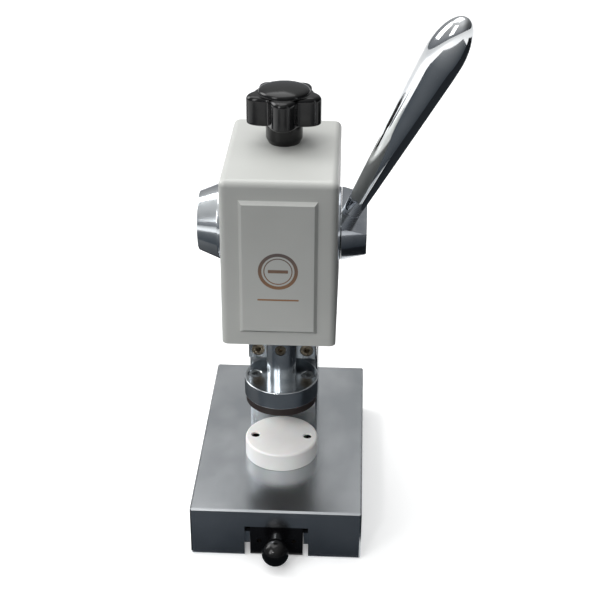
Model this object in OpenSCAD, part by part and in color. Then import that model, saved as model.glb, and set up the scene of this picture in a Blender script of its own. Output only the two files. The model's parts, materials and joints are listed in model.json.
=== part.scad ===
// Bench tablet press. A hand lever turns a sector pinion, the pinion drives a
// toothed ram down onto a die pad, and a star knob on top sets the lowest stop.
// Millimetres. X is the user's right, -Y faces the user, +Z is up. The origin is
// the middle of the base's underside.

/* [Base and die] */
// Width of the base block, left to right
base_w = 113; // [80:1:140]
// Depth of the base block, front to back
base_d = 186; // [150:1:230]
// Height of the base block
base_h = 37; // [36:1:50]
// Bevel on the edges of the ground steel blocks
edge_bevel = 1.2; // [0.5:0.1:2]
// Diameter of the white die pad
die_d = 50; // [44:1:60]
// Thickness of the die pad
die_t = 13; // [11:1:18]
// Distance of each die screw from the die's centre
die_screw_x = 18; // [14:1:18]
// Daylight between the raised press pad and the die pad
daylight = 31; // [31:1:36]

/* [Drawer] */
// Width of the channel under the base
channel_w = 42; // [38:1:50]
// Height of the channel, open at the bottom
channel_h = 24; // [22:1:25]
// Sideways offset of the channel from the base's middle
channel_x = 0.5; // [0:0.5:2]
// Width of the drawer's body
drawer_w = 35; // [30:1:35]
// Wall of the drawer tray
tray_wall = 2; // [1.5:0.5:3]
// How far the drawer pulls out
drawer_travel = 55; // [30:1:60]
// Diameter of the ball knob
ball_d = 18; // [14:0.5:20]

/* [Column and guide plate] */
// Width of the column
column_w = 47; // [44:1:58]
// How far the column's back face stays inside the cover's back
column_inset = 8; // [8:1:14]
// Width of the guide plate
plate_w = 46; // [40:1:50]
// Height of the guide plate
plate_h = 44.5; // [36:0.5:50]

/* [Ram] */
// Diameter of the ram
ram_d = 20; // [18:0.5:24]
// Distance of the ram's axis in front of the base's middle
ram_forward = 23; // [20:1:26]
// Diameter of the ram's flange
flange_d = 50; // [46:1:60]
// Thickness of the flange
flange_t = 12.4; // [11:0.1:16]
// Diameter of the dark press pad
pad_d = 48; // [44:1:58]
// Thickness of the press pad
pad_t = 6; // [5:0.5:8]
// Width of the ram key that runs in the guide plate
key_w = 8; // [6:0.5:10]

/* [Drive] */
// Module of the rack and the pinion
gear_module = 1.5; // [1.25:0.05:1.5]
// Teeth that a full pinion would have
gear_teeth = 20; // [20:1:22]
// Face width of the pinion
gear_face = 12; // [10:0.5:14]
// Play between the teeth along the pitch line
backlash = 0.24; // [0.15:0.01:0.4]
// Turn of the lever from rest to the bottom of the stroke
lever_travel = 112.7; // [90:0.1:112.7]
// Diameter of the pinion shaft
shaft_d = 14; // [12:0.5:17]
// Radial clearance of the ram and the shaft in their bushes
running_clear = 0.05; // [0.02:0.01:0.08]

/* [Head] */
// Width of the cover
head_w = 67; // [66:1:90]
// Depth of the cover, front to back
head_d = 105; // [104:1:130]
// Height of the cover
head_h = 110; // [108:1:135]
// Height of the cover's lower edge above the bench
head_z = 140; // [138:1:150]
// Wall of the cover
cover_t = 3; // [2.5:0.5:3]
// How far the cover stands in front of the ram's axis
head_forward = 28; // [26:1:34]
// Width of the raised front panel
panel_w = 54; // [40:1:60]
// Height of the raised front panel
panel_h = 96; // [70:1:100]
// How far the panel stands out
panel_rise = 5.5; // [3:0.5:7]
// Width of the panel's bevel, seen from the front
panel_bevel = 4.5; // [2:0.5:5]

/* [Lever and hubs] */
// Length of the lever from the shaft's axis to its tip
lever_l = 185.5; // [120:0.5:210]
// Diameter of the lever where it leaves the hub
lever_root_d = 12; // [10:0.5:14]
// Largest diameter of the lever's grip
lever_grip_d = 24; // [18:0.5:26]
// Lean of the lever away from the head
lever_lean = 20.3; // [15:0.1:30]
// Forward tilt of the resting lever from upright
lever_tilt = 25; // [10:1:30]
// Diameter of the lever hub and its collar
hub_d = 48; // [44:1:54]
// Diameter of the lever hub's outer end
hub_end_d = 40; // [36:1:44]
// Length of the lever hub
hub_l = 16.5; // [13:0.1:18]
// Thickness of the fixed collar
collar_t = 4.5; // [4:0.1:7]
// Diameter of the spring cup beside the head
cup_d = 50; // [46:1:56]
// Diameter of the spring cup's outer end
cup_end_d = 39; // [38:0.5:44]
// Length of the spring cup
cup_l = 21; // [20:0.5:26]

/* [Star knob and stop screw] */
// Diameter of the star knob over its lobes
star_d = 50; // [44:1:60]
// Number of lobes
star_lobes = 5; // [4:1:7]
// Height of the lobes
star_h = 19; // [12:0.5:20]
// Height of the knob's crown above the lobes
crown_h = 4.5; // [3:0.5:6]
// Diameter of the knob's hub
star_hub_d = 24; // [20:0.5:28]
// Height of the knob's hub
star_hub_h = 15.5; // [8:0.5:18]
// Diameter of the stop screw
stop_d = 8; // [6:0.5:8]
// Diameter of the pad that stops the pinion
stop_pad_d = 10; // [10:0.5:11]

/* [Hidden] */

$fn = 96;
cut = 1;                 // how far a cutting shape runs past a face
fit_clear = 0.02;        // radial gap of a part seated in its own bore
slide_clear = 0.05;      // gap on each side of a guided key
air = 0.3;               // gap between parts that pass each other

// Levels up the machine
die_top_z = base_h + die_t;
flange_z = die_top_z + daylight + pad_t;
flange_top_z = flange_z + flange_t;
head_top_z = head_z + head_h;
casting_z = head_z + 10;
plate_z = casting_z - 0.5 - plate_h;
bridge_t = 6;
cover_gap = 3;
bridge_top_z = head_top_z - cover_t - cover_gap;
casting_top_z = bridge_top_z - bridge_t;
pinion_drop = 47;        // pinion axis below the head's top
pinion_z = head_top_z - pinion_drop;

// Gear geometry
pressure_angle = 20;
tooth_pitch = PI * gear_module;
pitch_r = gear_module * gear_teeth / 2;
outer_r = pitch_r + gear_module;
root_r = pitch_r - 1.25 * gear_module;
involute_r = pitch_r * cos(pressure_angle);
tooth_angle = 360 / gear_teeth;
hub_wall = 4;            // steel between the shaft and the blank part of the pinion
blank_r = shaft_d / 2 + hub_wall;
ram_stroke = pitch_r * lever_travel * PI / 180;
teeth_past = 1;          // teeth kept on each side of the working arc
last_tooth = ceil(lever_travel / tooth_angle);
lug_r = blank_r + 7;     // reach of the pinion's stop lug
lug_face = 5.5;          // height of the lug's face above its own centre line
lug_back = 4;
lug_sweep = sqrt(lug_r * lug_r + lug_face * lug_face);

// Front-to-back positions
stop_bush_d = stop_d + 6;
ram_y = -ram_forward;
rack_flat = 2;           // depth of the flat that carries the teeth
flat_y = ram_y + ram_d / 2 - rack_flat;
pinion_y = flat_y - gear_module + pitch_r;
plate_gap = 1;
plate_y = ram_y + ram_d / 2 + plate_gap;
disc_gap = 1;            // the discs pass this far in front of the column
head_y = ram_y - head_forward;
column_y = ram_y + max(flange_d, pad_d, die_d) / 2 + disc_gap;
plate_t = column_y - plate_y;
column_back_y = head_y + head_d - column_inset;
column_d = column_back_y - column_y;
stop_y = pinion_y + blank_r + stop_pad_d / 2;   // clear of the last tooth
cavity_w = gear_face + 6;
cavity_front_y = ram_y + ram_d / 2 + 5;
cavity_back_y = stop_y + stop_bush_d / 2 + 0.5;
block_back_y = cavity_back_y + 8;
head_back_y = head_y + head_d;
base_front_y = -base_d / 2;

// Casting and bushes
casting_w = head_w - 2 * cover_t - 2 * cover_gap;
ram_bush_wall = 3;
ram_bush_d = ram_d + 2 * ram_bush_wall;
casting_front_y = ram_y - ram_bush_d / 2 - 2;
lower_bush_h = 14;
upper_bush_top_z = pinion_z - lug_sweep - 3;
upper_bush_h = 14;
ram_top_z = pinion_z + ram_stroke + 2 * tooth_pitch;
flat_low_z = upper_bush_top_z - 1;
shoulder_h = 22;
cavity_floor_h = 10;
shaft_bush_wall = 3;
shaft_bush_d = shaft_d + 2 * shaft_bush_wall;
boss_d = 46;
side_screw_r = 14;       // circle radius of the screws through the cover's sides
side_screw_d = 3;
side_screw_l = 12;

// Stop screw: the pad rests just above the lug's face at the full stroke
stop_pad_h = 5;
stop_nose_d = 5;
stop_nose_h = 3;
stop_pad_z = pinion_z + lug_face + air;
stop_bush_h = 14;
star_z = head_top_z + 2;
star_lobe_z = star_z + star_hub_h;
stop_top_z = star_z + 14;
insert_d = 12;

// Channel and drawer
channel_back_y = column_y - 11;
drawer_recess = 1;
front_t = 3;
front_y = base_front_y + drawer_recess;
tray_front_y = front_y + front_t;
tray_back_y = channel_back_y - 4;
rail_t = (channel_w - drawer_w) / 2 - 0.4;
rail_z = 8;
rail_top_z = channel_h - 6.8;
tray_z = 1.5;
tray_lip_t = 2;
tray_lip_z = rail_top_z + air;
tray_top_z = tray_lip_z + tray_lip_t;
tray_lip_w = channel_w - 0.8;
stop_pin_d = 4;
stop_pin_l = 12;
stop_pin_drop = 2.5;     // how far the pin hangs into the channel
stop_pin_y = tray_back_y - tray_wall - 0.2 - drawer_travel - stop_pin_d / 2;
ball_reach = 12;         // ball centre in front of the drawer's front
ball_z = channel_h / 2;
stud_d = 8;
stud_thread_d = 5;

// Screw sizes and their places
function cap_head_d(d) = 1.5 * d + 1;
function csk_head_d(d) = 2 * d;
head_play = 0.7;         // counterbore over the screw head
thread_play = 0.1;       // tapped hole over the screw
foot_screw_d = 8;
foot_screw_x = 16;
foot_screw_in = 8;       // from the column's faces to its foot bolts
foot_screw_l = 48;
foot_sink = 9;
dowel_d = 6;
dowel_l = 20;
top_screw_d = 6;
top_screw_x = 18;
top_screw_in = 10;
floor_screw_d = 8;
floor_screw_y = column_y + 7;
plate_screw_d = 5;
plate_screw_x = plate_w / 2 - 6.5;
plate_screw_rise = 7;
plate_screw_l = 16;
key_screw_d = 4;
key_screw_rise = [4.5, 22];
key_l = 28;
key_z = plate_z + 14;
key_grip = 4;            // how deep the key runs in the guide plate
flange_screw_d = 5;
flange_screw_x = min(flange_d, pad_d) / 2 - 6;
die_screw_d = 3;
die_screw_sink = 4.2;
die_screw_l = 14;
bridge_screw_d = 4;
bridge_screw_x = casting_w / 2 - 9;
bridge_y = ram_y + ram_d / 2 + 3;
bridge_screw_y = [bridge_y + 6, block_back_y - 6];
rear_screw_d = 3;
lip_w = 8;
rear_screw_x = head_w / 2 - cover_t - lip_w / 2;
rear_screw_z = [head_z + 12, head_top_z - 12];

// Shaft, hub and cup stations along X
collar_x = head_w / 2;
hub_x = collar_x + collar_t + air;
hub_end_x = hub_x + hub_l;
cup_x = -head_w / 2;
cup_end_x = cup_x - cup_l;
cup_floor_t = 3;
cup_cyl_l = 7.5;         // straight part of the cup before its taper
cup_bore_r = cup_end_d / 2 - 2.5;
cup_cap_t = 3;
hub_washer_d = 18;
hub_washer_t = 3.4;
hub_washer_sink = 0.4;
hub_washer_x = hub_end_x - hub_washer_sink - hub_washer_t;
shaft_left_x = cup_end_x + cup_cap_t + 1;
shaft_right_x = hub_washer_x - 0.2;
lever_x = collar_x + 6.9;  // where the lever's axis meets the shaft's axis
lever_seat_r = 14;       // height of the hub's flat above the shaft's axis
lever_stub_d = 8;
lever_stub_z = shaft_d / 2 + 3;
drive_key_w = 4;
drive_key_h = 4;
drive_key_sink = 2.4;
pinion_key_angle = 45;
hub_key_angle = -120;
hub_screw_d = 6;
spring_t = 0.9;
spring_w = 9;
spring_turns = 5;
spring_steps = 24;       // points a turn

// ---------------------------------------------------------------- helpers

// Ground block with bevelled edges, centred in X and Y, standing on z = 0
module bevelled_block(size, c) {
    intersection() {
        linear_extrude(size[2]) bevelled_rect(size[0], size[1], c);
        translate([0, size[1] / 2, size[2] / 2])
            rotate([90, 0, 0]) linear_extrude(size[1]) bevelled_rect(size[0], size[2], c);
        translate([-size[0] / 2, 0, size[2] / 2])
            rotate([90, 0, 90]) linear_extrude(size[0]) bevelled_rect(size[1], size[2], c);
    }
}

module bevelled_rect(w, h, c) {
    x = w / 2;
    y = h / 2;
    polygon([
        [-x + c, -y], [x - c, -y], [x, -y + c], [x, y - c],
        [x - c, y], [-x + c, y], [-x, y - c], [-x, -y + c]
    ]);
}

// Box given by its low and high corners
module box(low, high) {
    translate(low) cube(high - low);
}

// Socket-head screw, its shank down -Z from the head's seat at the origin
module cap_screw(d, l) {
    difference() {
        union() {
            cylinder(d = cap_head_d(d), h = d);
            translate([0, 0, -l]) cylinder(d = d, h = l + 0.1);
        }
        translate([0, 0, d * 0.45]) cylinder(d = 0.95 * d, h = d, $fn = 6);
    }
}

// Hole for a socket-head screw: clearance, counterbore, and a tapped stretch
module cap_screw_hole(d, l, above) {
    cylinder(d = cap_head_d(d) + head_play, h = above);
    translate([0, 0, -l - 1]) cylinder(d = d + thread_play, h = l + 2);
}

// Countersunk screw, its top face at the origin
module csk_screw(d, l) {
    difference() {
        union() {
            translate([0, 0, -d / 2]) cylinder(d1 = d, d2 = csk_head_d(d), h = d / 2);
            translate([0, 0, -l]) cylinder(d = d, h = l - d / 4);
        }
        translate([0, 0, -d * 0.4]) cylinder(d = 0.7 * d, h = d, $fn = 6);
    }
}

module csk_screw_hole(d, l) {
    translate([0, 0, -d / 2]) cylinder(d1 = d + thread_play, d2 = csk_head_d(d) + thread_play, h = d / 2);
    translate([0, 0, -0.01]) cylinder(d = csk_head_d(d) + thread_play, h = cut);
    translate([0, 0, -l - 1]) cylinder(d = d + thread_play, h = l + 1);
}

// Plain cylinder along X between two stations on the pinion's axis
module on_shaft(x0, x1, d) {
    translate([x0, pinion_y, pinion_z]) rotate([0, 90, 0]) cylinder(d = d, h = x1 - x0);
}

// Frame whose Z runs out along +X from the pinion's axis
module at_shaft_end(x, side) {
    translate([x, pinion_y, pinion_z]) rotate([0, 90 * side, 0]) children();
}

// Three places round the shaft for the screws through the cover's sides
module side_screw_places(x, side) {
    at_shaft_end(x, side)
        for (a = [0 : 120 : 240]) rotate([0, 0, a + 60]) translate([side_screw_r, 0, 0]) children();
}

// Frame along the lever, its origin on the shaft's axis
module along_lever() {
    translate([lever_x, pinion_y, pinion_z])
        rotate([lever_tilt, 0, 0]) rotate([0, lever_lean, 0]) children();
}

// Ring round the ram's axis
module ram_ring(z, h, outer, inner) {
    translate([0, ram_y, z]) difference() {
        cylinder(d = outer, h = h);
        translate([0, 0, -cut]) cylinder(d = inner, h = h + 2 * cut);
    }
}

// ---------------------------------------------------------------- base

module foot_screw_places() {
    for (x = [-foot_screw_x, foot_screw_x])
        for (y = [column_y + foot_screw_in, column_back_y - foot_screw_in])
            translate([x, y, 0]) children();
}

module dowel_places() {
    for (y = [column_y + foot_screw_in + 2, column_back_y - foot_screw_in])
        translate([0, y, base_h - dowel_l / 2]) children();
}

module base_block() {
    color([0.62, 0.64, 0.66]) difference() {
        bevelled_block([base_w, base_d, base_h], edge_bevel);
        box([channel_x - channel_w / 2, base_front_y - cut, -cut],
            [channel_x + channel_w / 2, channel_back_y, channel_h]);
        foot_screw_places() {
            translate([0, 0, -cut]) cylinder(d = cap_head_d(foot_screw_d) + head_play, h = foot_sink + cut);
            cylinder(d = foot_screw_d + 0.4, h = base_h + cut);
        }
        dowel_places() cylinder(d = dowel_d + 2 * fit_clear, h = dowel_l);
        die_screw_places(base_h) translate([0, 0, -9.5])
            cylinder(d = die_screw_d + thread_play, h = 9.5 + cut);
        rail_screw_places() csk_screw_hole(rear_screw_d, rail_t + 8);
        translate([channel_x, stop_pin_y, channel_h - cut])
            cylinder(d = stop_pin_d + 2 * fit_clear, h = stop_pin_l - 2.5);
    }
}

module column_bolts() {
    color([0.22, 0.22, 0.24]) foot_screw_places()
        translate([0, 0, foot_sink]) rotate([180, 0, 0]) cap_screw(foot_screw_d, foot_screw_l);
}

module column_dowels() {
    color("silver") dowel_places() translate([0, 0, 0.2]) cylinder(d = dowel_d, h = dowel_l - 0.4);
}

// ---------------------------------------------------------------- column

module top_screw_places() {
    for (x = [-top_screw_x, top_screw_x])
        translate([x, column_back_y - top_screw_in, casting_z + shoulder_h]) children();
}

module floor_screw_places() {
    translate([0, floor_screw_y, casting_z + cavity_floor_h]) children();
}

module plate_screw_places() {
    for (x = [-plate_screw_x, plate_screw_x])
        translate([x, plate_y + plate_screw_d + 0.3, plate_z + plate_screw_rise])
            rotate([90, 0, 0]) children();
}

module column() {
    color([0.66, 0.67, 0.69]) difference() {
        translate([0, column_y + column_d / 2, base_h])
            bevelled_block([column_w, column_d, casting_z - base_h], edge_bevel);
        foot_screw_places() translate([0, 0, base_h - cut])
            cylinder(d = foot_screw_d + thread_play, h = foot_screw_l + foot_sink - base_h + 3 + cut);
        dowel_places() cylinder(d = dowel_d + 2 * fit_clear, h = dowel_l);
        top_screw_places() cap_screw_hole(top_screw_d, shoulder_h + 14, cut);
        floor_screw_places() cap_screw_hole(floor_screw_d, cavity_floor_h + 14, cut);
        plate_screw_places() cap_screw_hole(plate_screw_d, plate_screw_l, cut);
    }
}

module guide_plate() {
    color([0.72, 0.73, 0.75]) difference() {
        translate([0, plate_y + plate_t / 2, plate_z]) bevelled_block([plate_w, plate_t, plate_h], 0.8);
        box([-key_w / 2 - slide_clear, plate_y - cut, plate_z - cut],
            [key_w / 2 + slide_clear, plate_y + key_grip + 0.5, plate_z + plate_h + cut]);
        plate_screw_places() cap_screw_hole(plate_screw_d, plate_screw_l, 2 * plate_screw_d);
    }
}

module guide_plate_screws() {
    color([0.25, 0.24, 0.22]) plate_screw_places() cap_screw(plate_screw_d, plate_screw_l);
}

// ---------------------------------------------------------------- head casting

module head_casting() {
    color([0.45, 0.47, 0.5]) difference() {
        union() {
            box([-casting_w / 2, casting_front_y, casting_z],
                [casting_w / 2, block_back_y, casting_top_z]);
            box([-casting_w / 2, block_back_y - cut, casting_z],
                [casting_w / 2, column_back_y, casting_z + shoulder_h]);
            on_shaft(-casting_w / 2 - cover_gap, casting_w / 2 + cover_gap, boss_d);
        }
        // ram bore: bushes below, clearance above
        translate([0, ram_y, casting_z - cut])
            cylinder(d = ram_bush_d + 2 * fit_clear, h = upper_bush_top_z - casting_z + cut);
        translate([0, ram_y, casting_z])
            cylinder(d = ram_d + 2, h = casting_top_z - casting_z + cut);
        // gear cavity, open at the top, with its floor over the column
        box([-cavity_w / 2, cavity_front_y + 2, casting_z + cavity_floor_h],
            [cavity_w / 2, cavity_back_y, casting_top_z + cut]);
        box([-cavity_w / 2, ram_y, upper_bush_top_z + 0.5],
            [cavity_w / 2, cavity_back_y - cut, casting_top_z + cut]);
        on_shaft(-head_w / 2, head_w / 2, shaft_bush_d + 2 * fit_clear);
        top_screw_places() cap_screw_hole(top_screw_d, shoulder_h + 2, 4 * top_screw_d);
        floor_screw_places() cap_screw_hole(floor_screw_d, cavity_floor_h + 2, floor_screw_d);
        bridge_screw_places() cylinder(d = bridge_screw_d + thread_play, h = 40, center = true);
        for (side = [-1, 1]) side_screw_places(side * (casting_w / 2 + cover_gap), side)
            cylinder(d = side_screw_d + thread_play, h = 2 * side_screw_l, center = true);
    }
}

module head_bolts() {
    color([0.22, 0.22, 0.24]) {
        top_screw_places() cap_screw(top_screw_d, shoulder_h + 12);
        floor_screw_places() cap_screw(floor_screw_d, cavity_floor_h + 12);
    }
}

module lower_ram_bush() {
    color([0.72, 0.52, 0.25])
        ram_ring(casting_z, lower_bush_h, ram_bush_d, ram_d + 2 * running_clear);
}

module upper_ram_bush() {
    color([0.72, 0.52, 0.25])
        ram_ring(upper_bush_top_z - upper_bush_h, upper_bush_h, ram_bush_d, ram_d + 2 * running_clear);
}

module shaft_bush(x0, x1) {
    color([0.72, 0.52, 0.25]) difference() {
        on_shaft(x0, x1, shaft_bush_d);
        on_shaft(x0 - cut, x1 + cut, shaft_d + 2 * running_clear);
    }
}

module left_shaft_bush() {
    shaft_bush(-casting_w / 2 - cover_gap, -cavity_w / 2);
}

module right_shaft_bush() {
    shaft_bush(cavity_w / 2, casting_w / 2 + cover_gap);
}

module bridge_screw_places() {
    for (x = [-bridge_screw_x, bridge_screw_x])
        for (y = bridge_screw_y) translate([x, y, bridge_top_z]) children();
}

module top_bridge() {
    color([0.6, 0.61, 0.63]) difference() {
        box([-casting_w / 2, bridge_y, casting_top_z], [casting_w / 2, block_back_y, bridge_top_z]);
        translate([0, stop_y, casting_top_z - cut])
            cylinder(d = stop_bush_d + 2 * fit_clear, h = bridge_t + 2 * cut);
        bridge_screw_places() csk_screw_hole(bridge_screw_d, bridge_t + 1);
    }
}

module bridge_screws() {
    color([0.3, 0.3, 0.32]) bridge_screw_places() csk_screw(bridge_screw_d, bridge_t + 10);
}

module stop_screw_bush() {
    color([0.72, 0.52, 0.25]) translate([0, stop_y, 0]) difference() {
        translate([0, 0, bridge_top_z - stop_bush_h]) cylinder(d = stop_bush_d, h = stop_bush_h);
        translate([0, 0, bridge_top_z - stop_bush_h - cut])
            cylinder(d = stop_d + 2 * running_clear, h = stop_bush_h + 2 * cut);
    }
}

// ---------------------------------------------------------------- covers

// Raised panel: a bevelled slab standing out from the cover's front face
module front_panel() {
    panel_z = head_z + (head_h - panel_h) / 2;
    x = panel_w / 2;
    intersection() {
        translate([0, 0, panel_z]) linear_extrude(panel_h) polygon([
            [-x, head_y + cut], [-x, head_y], [-x + panel_bevel, head_y - panel_rise],
            [x - panel_bevel, head_y - panel_rise], [x, head_y], [x, head_y + cut]
        ]);
        translate([-x, 0, 0]) rotate([90, 0, 90]) linear_extrude(panel_w) polygon([
            [head_y + cut, panel_z], [head_y, panel_z],
            [head_y - panel_rise, panel_z + panel_bevel],
            [head_y - panel_rise, panel_z + panel_h - panel_bevel],
            [head_y, panel_z + panel_h], [head_y + cut, panel_z + panel_h]
        ]);
    }
}

module head_cover() {
    color([0.84, 0.84, 0.82]) difference() {
        union() {
            translate([0, head_y + head_d / 2, head_z])
                bevelled_block([head_w, head_d, head_h], edge_bevel);
            front_panel();
        }
        // inside, leaving a lip on each side for the rear cover's screws
        box([-head_w / 2 + cover_t, head_y + cover_t, head_z - cut],
            [head_w / 2 - cover_t, head_back_y - 2 * cover_t, head_top_z - cover_t]);
        box([-head_w / 2 + cover_t + lip_w, head_back_y - 3 * cover_t, head_z - cut],
            [head_w / 2 - cover_t - lip_w, head_back_y + cut, head_top_z - cover_t]);
        box([-head_w / 2 + cover_t, head_back_y - cover_t, head_z - cut],
            [head_w / 2 - cover_t, head_back_y + cut, head_top_z - cover_t]);
        // the shaft, its screws and the stop screw pass through
        on_shaft(-head_w, head_w, shaft_d + 3);
        for (side = [-1, 1]) side_screw_places(side * head_w / 2, side)
            cylinder(d = side_screw_d + 0.4, h = 4 * cover_t, center = true);
        translate([0, stop_y, head_top_z - 2 * cover_t]) cylinder(d = stop_d + 3, h = 3 * cover_t);
        rear_screw_places() cylinder(d = rear_screw_d + thread_play, h = 6 * cover_t, center = true);
    }
}

module rear_screw_places() {
    for (x = [-rear_screw_x, rear_screw_x])
        for (z = rear_screw_z) translate([x, head_back_y, z]) rotate([-90, 0, 0]) children();
}

module rear_cover() {
    gap = 0.1;
    color([0.84, 0.84, 0.82]) difference() {
        box([-head_w / 2 + cover_t + gap, head_back_y - cover_t, head_z + edge_bevel],
            [head_w / 2 - cover_t - gap, head_back_y, head_top_z - cover_t - gap]);
        rear_screw_places() csk_screw_hole(rear_screw_d, 3 * cover_t);
    }
}

module rear_cover_screws() {
    color([0.3, 0.3, 0.32]) rear_screw_places() csk_screw(rear_screw_d, 2 * cover_t - 0.3);
}

// ---------------------------------------------------------------- spring cup

module spring_cup() {
    color([0.8, 0.81, 0.83]) at_shaft_end(cup_x, -1) difference() {
        rotate_extrude() polygon([
            [0, 0], [cup_d / 2, 0], [cup_d / 2, cup_cyl_l], [cup_end_d / 2, cup_l - 0.6],
            [cup_end_d / 2 - 0.6, cup_l], [0, cup_l]
        ]);
        translate([0, 0, cup_floor_t]) cylinder(r = cup_bore_r, h = cup_l);
        translate([0, 0, -cut]) cylinder(d = shaft_d + 3, h = cup_l);
        for (a = [0 : 120 : 240]) rotate([0, 0, a + 60]) translate([side_screw_r, 0, -cut])
            cylinder(d = side_screw_d + 0.4, h = cup_floor_t + 2 * cut);
    }
}

module spring_cup_screws() {
    color([0.3, 0.3, 0.32]) side_screw_places(cup_x - cup_floor_t, -1)
        cap_screw(side_screw_d, cup_floor_t + cover_t + side_screw_l - 3);
}

module spring_cup_cap() {
    color([0.8, 0.81, 0.83]) at_shaft_end(cup_end_x + cup_cap_t, -1)
        cylinder(r = cup_bore_r - fit_clear, h = cup_cap_t - 0.4);
}

// Flat spiral spring: its radius grows evenly with the angle
module return_spring() {
    r0 = shaft_d / 2 + 0.8;
    r1 = cup_bore_r - spring_t - 0.4;
    steps = spring_turns * spring_steps;
    function spiral_r(i) = r0 + (r1 - r0) * i / steps;
    function spiral_point(i, extra) = (spiral_r(i) + extra)
        * [cos(360 * i / spring_steps), sin(360 * i / spring_steps)];
    color([0.35, 0.4, 0.5])
        at_shaft_end(cup_x - cup_floor_t - side_screw_d - 1, -1) linear_extrude(spring_w) polygon(concat(
            [for (i = [0 : steps]) spiral_point(i, 0)],
            [for (i = [steps : -1 : 0]) spiral_point(i, spring_t)]
        ));
}

// ---------------------------------------------------------------- collar

module hub_collar() {
    color([0.8, 0.81, 0.83]) at_shaft_end(collar_x, 1) difference() {
        rotate_extrude() polygon([
            [0, 0], [hub_d / 2, 0], [hub_d / 2, collar_t - 0.5], [hub_d / 2 - 0.5, collar_t], [0, collar_t]
        ]);
        translate([0, 0, -cut]) cylinder(d = shaft_d + 1, h = collar_t + 2 * cut);
        for (a = [0 : 120 : 240]) rotate([0, 0, a + 60])
            translate([side_screw_r, 0, collar_t]) csk_screw_hole(side_screw_d, collar_t + cut);
    }
}

module hub_collar_screws() {
    color([0.3, 0.3, 0.32]) side_screw_places(collar_x + collar_t, 1)
        csk_screw(side_screw_d, collar_t + cover_t + side_screw_l - 3);
}

// ---------------------------------------------------------------- die

module die_screw_places(z) {
    for (x = [-die_screw_x, die_screw_x]) translate([x, ram_y, z]) children();
}

module die_pad() {
    color([0.95, 0.94, 0.92]) difference() {
        translate([0, ram_y, base_h]) rotate_extrude() polygon([
            [0, 0], [die_d / 2 - 0.5, 0], [die_d / 2, 0.5], [die_d / 2, die_t - 0.8],
            [die_d / 2 - 0.8, die_t], [0, die_t]
        ]);
        die_screw_places(die_top_z - die_screw_sink) {
            cylinder(d = cap_head_d(die_screw_d) + 0.3, h = die_screw_sink + cut);
            translate([0, 0, -die_t]) cylinder(d = die_screw_d + 0.4, h = die_t + cut);
        }
    }
}

module die_screws() {
    color([0.2, 0.2, 0.2]) die_screw_places(die_top_z - die_screw_sink)
        cap_screw(die_screw_d, die_screw_l);
}

// ---------------------------------------------------------------- drawer

module rail_screw_places() {
    for (side = [-1, 1])
        for (y = [tray_front_y + 12, tray_back_y - 12])
            translate([channel_x + side * (channel_w / 2 - rail_t), y, (rail_z + rail_top_z) / 2])
                rotate([0, -90 * side, 0]) children();
}

module drawer_rails() {
    color([0.5, 0.51, 0.53]) difference() {
        for (side = [-1, 1]) translate([channel_x + side * (channel_w - rail_t) / 2, 0, 0])
            box([-rail_t / 2, tray_front_y, rail_z], [rail_t / 2, tray_back_y, rail_top_z]);
        rail_screw_places() csk_screw_hole(rear_screw_d, rail_t + cut);
    }
}

module rail_screws() {
    color([0.3, 0.3, 0.32]) rail_screw_places() csk_screw(rear_screw_d, rail_t + 7);
}

module drawer_stop_pin() {
    color("silver") translate([channel_x, stop_pin_y, channel_h - stop_pin_drop])
        cylinder(d = stop_pin_d, h = stop_pin_l - stop_pin_drop);
}

module drawer_tray() {
    color([0.09, 0.09, 0.1]) translate([channel_x, 0, 0]) difference() {
        union() {
            box([-drawer_w / 2, tray_front_y, tray_z], [drawer_w / 2, tray_back_y, tray_top_z]);
            box([-tray_lip_w / 2, tray_front_y, tray_lip_z], [tray_lip_w / 2, tray_back_y, tray_top_z]);
            box([-drawer_w / 4, tray_back_y - tray_wall, tray_z],
                [drawer_w / 4, tray_back_y, channel_h - air]);
        }
        box([-drawer_w / 2 + tray_wall, tray_front_y + tray_wall, tray_z + tray_wall],
            [drawer_w / 2 - tray_wall, tray_back_y - tray_wall, channel_h]);
        front_screw_places() cylinder(d = rear_screw_d + thread_play, h = 20, center = true);
    }
}

module drawer_front() {
    color([0.07, 0.07, 0.08]) difference() {
        translate([channel_x, 0, 0])
            box([-drawer_w / 2, front_y, 1], [drawer_w / 2, tray_front_y, channel_h - 0.5]);
        translate([channel_x, front_y - cut, ball_z]) rotate([-90, 0, 0])
            cylinder(d = stud_thread_d + thread_play, h = front_t + 2 * cut);
        translate([channel_x, 0, 0]) front_screw_places()
            cylinder(d = rear_screw_d + thread_play, h = 20, center = true);
    }
}

module front_screw_places() {
    for (x = [-drawer_w / 2 + tray_wall + 4, drawer_w / 2 - tray_wall - 4])
        translate([x, tray_front_y + tray_wall, ball_z]) rotate([-90, 0, 0]) children();
}

module drawer_front_screws() {
    color([0.3, 0.3, 0.32]) translate([channel_x, 0, 0]) front_screw_places()
        cap_screw(rear_screw_d, tray_wall + front_t - 0.6);
}

module knob_stud() {
    color("silver") translate([channel_x, front_y, ball_z]) rotate([90, 0, 0]) {
        cylinder(d = stud_d, h = ball_reach - ball_d / 2 + 2);
        cylinder(d = stud_thread_d, h = ball_reach);
        translate([0, 0, -front_t]) cylinder(d = stud_thread_d, h = front_t + cut);
    }
}

module ball_knob() {
    color([0.05, 0.05, 0.05]) translate([channel_x, front_y - ball_reach, ball_z])
        rotate([-90, 0, 0]) rotate_extrude() difference() {
            intersection() {
                circle(d = ball_d);
                translate([0, -ball_d]) square([ball_d, ball_d + ball_d / 2 - 0.8]);
            }
            translate([-cut, ball_d / 2 - 2]) square([stud_d / 2 + fit_clear + cut, 4]);
            translate([-cut, -0.1]) square([stud_thread_d / 2 + fit_clear + cut, ball_d]);
        }
}

// ---------------------------------------------------------------- ram

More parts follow.
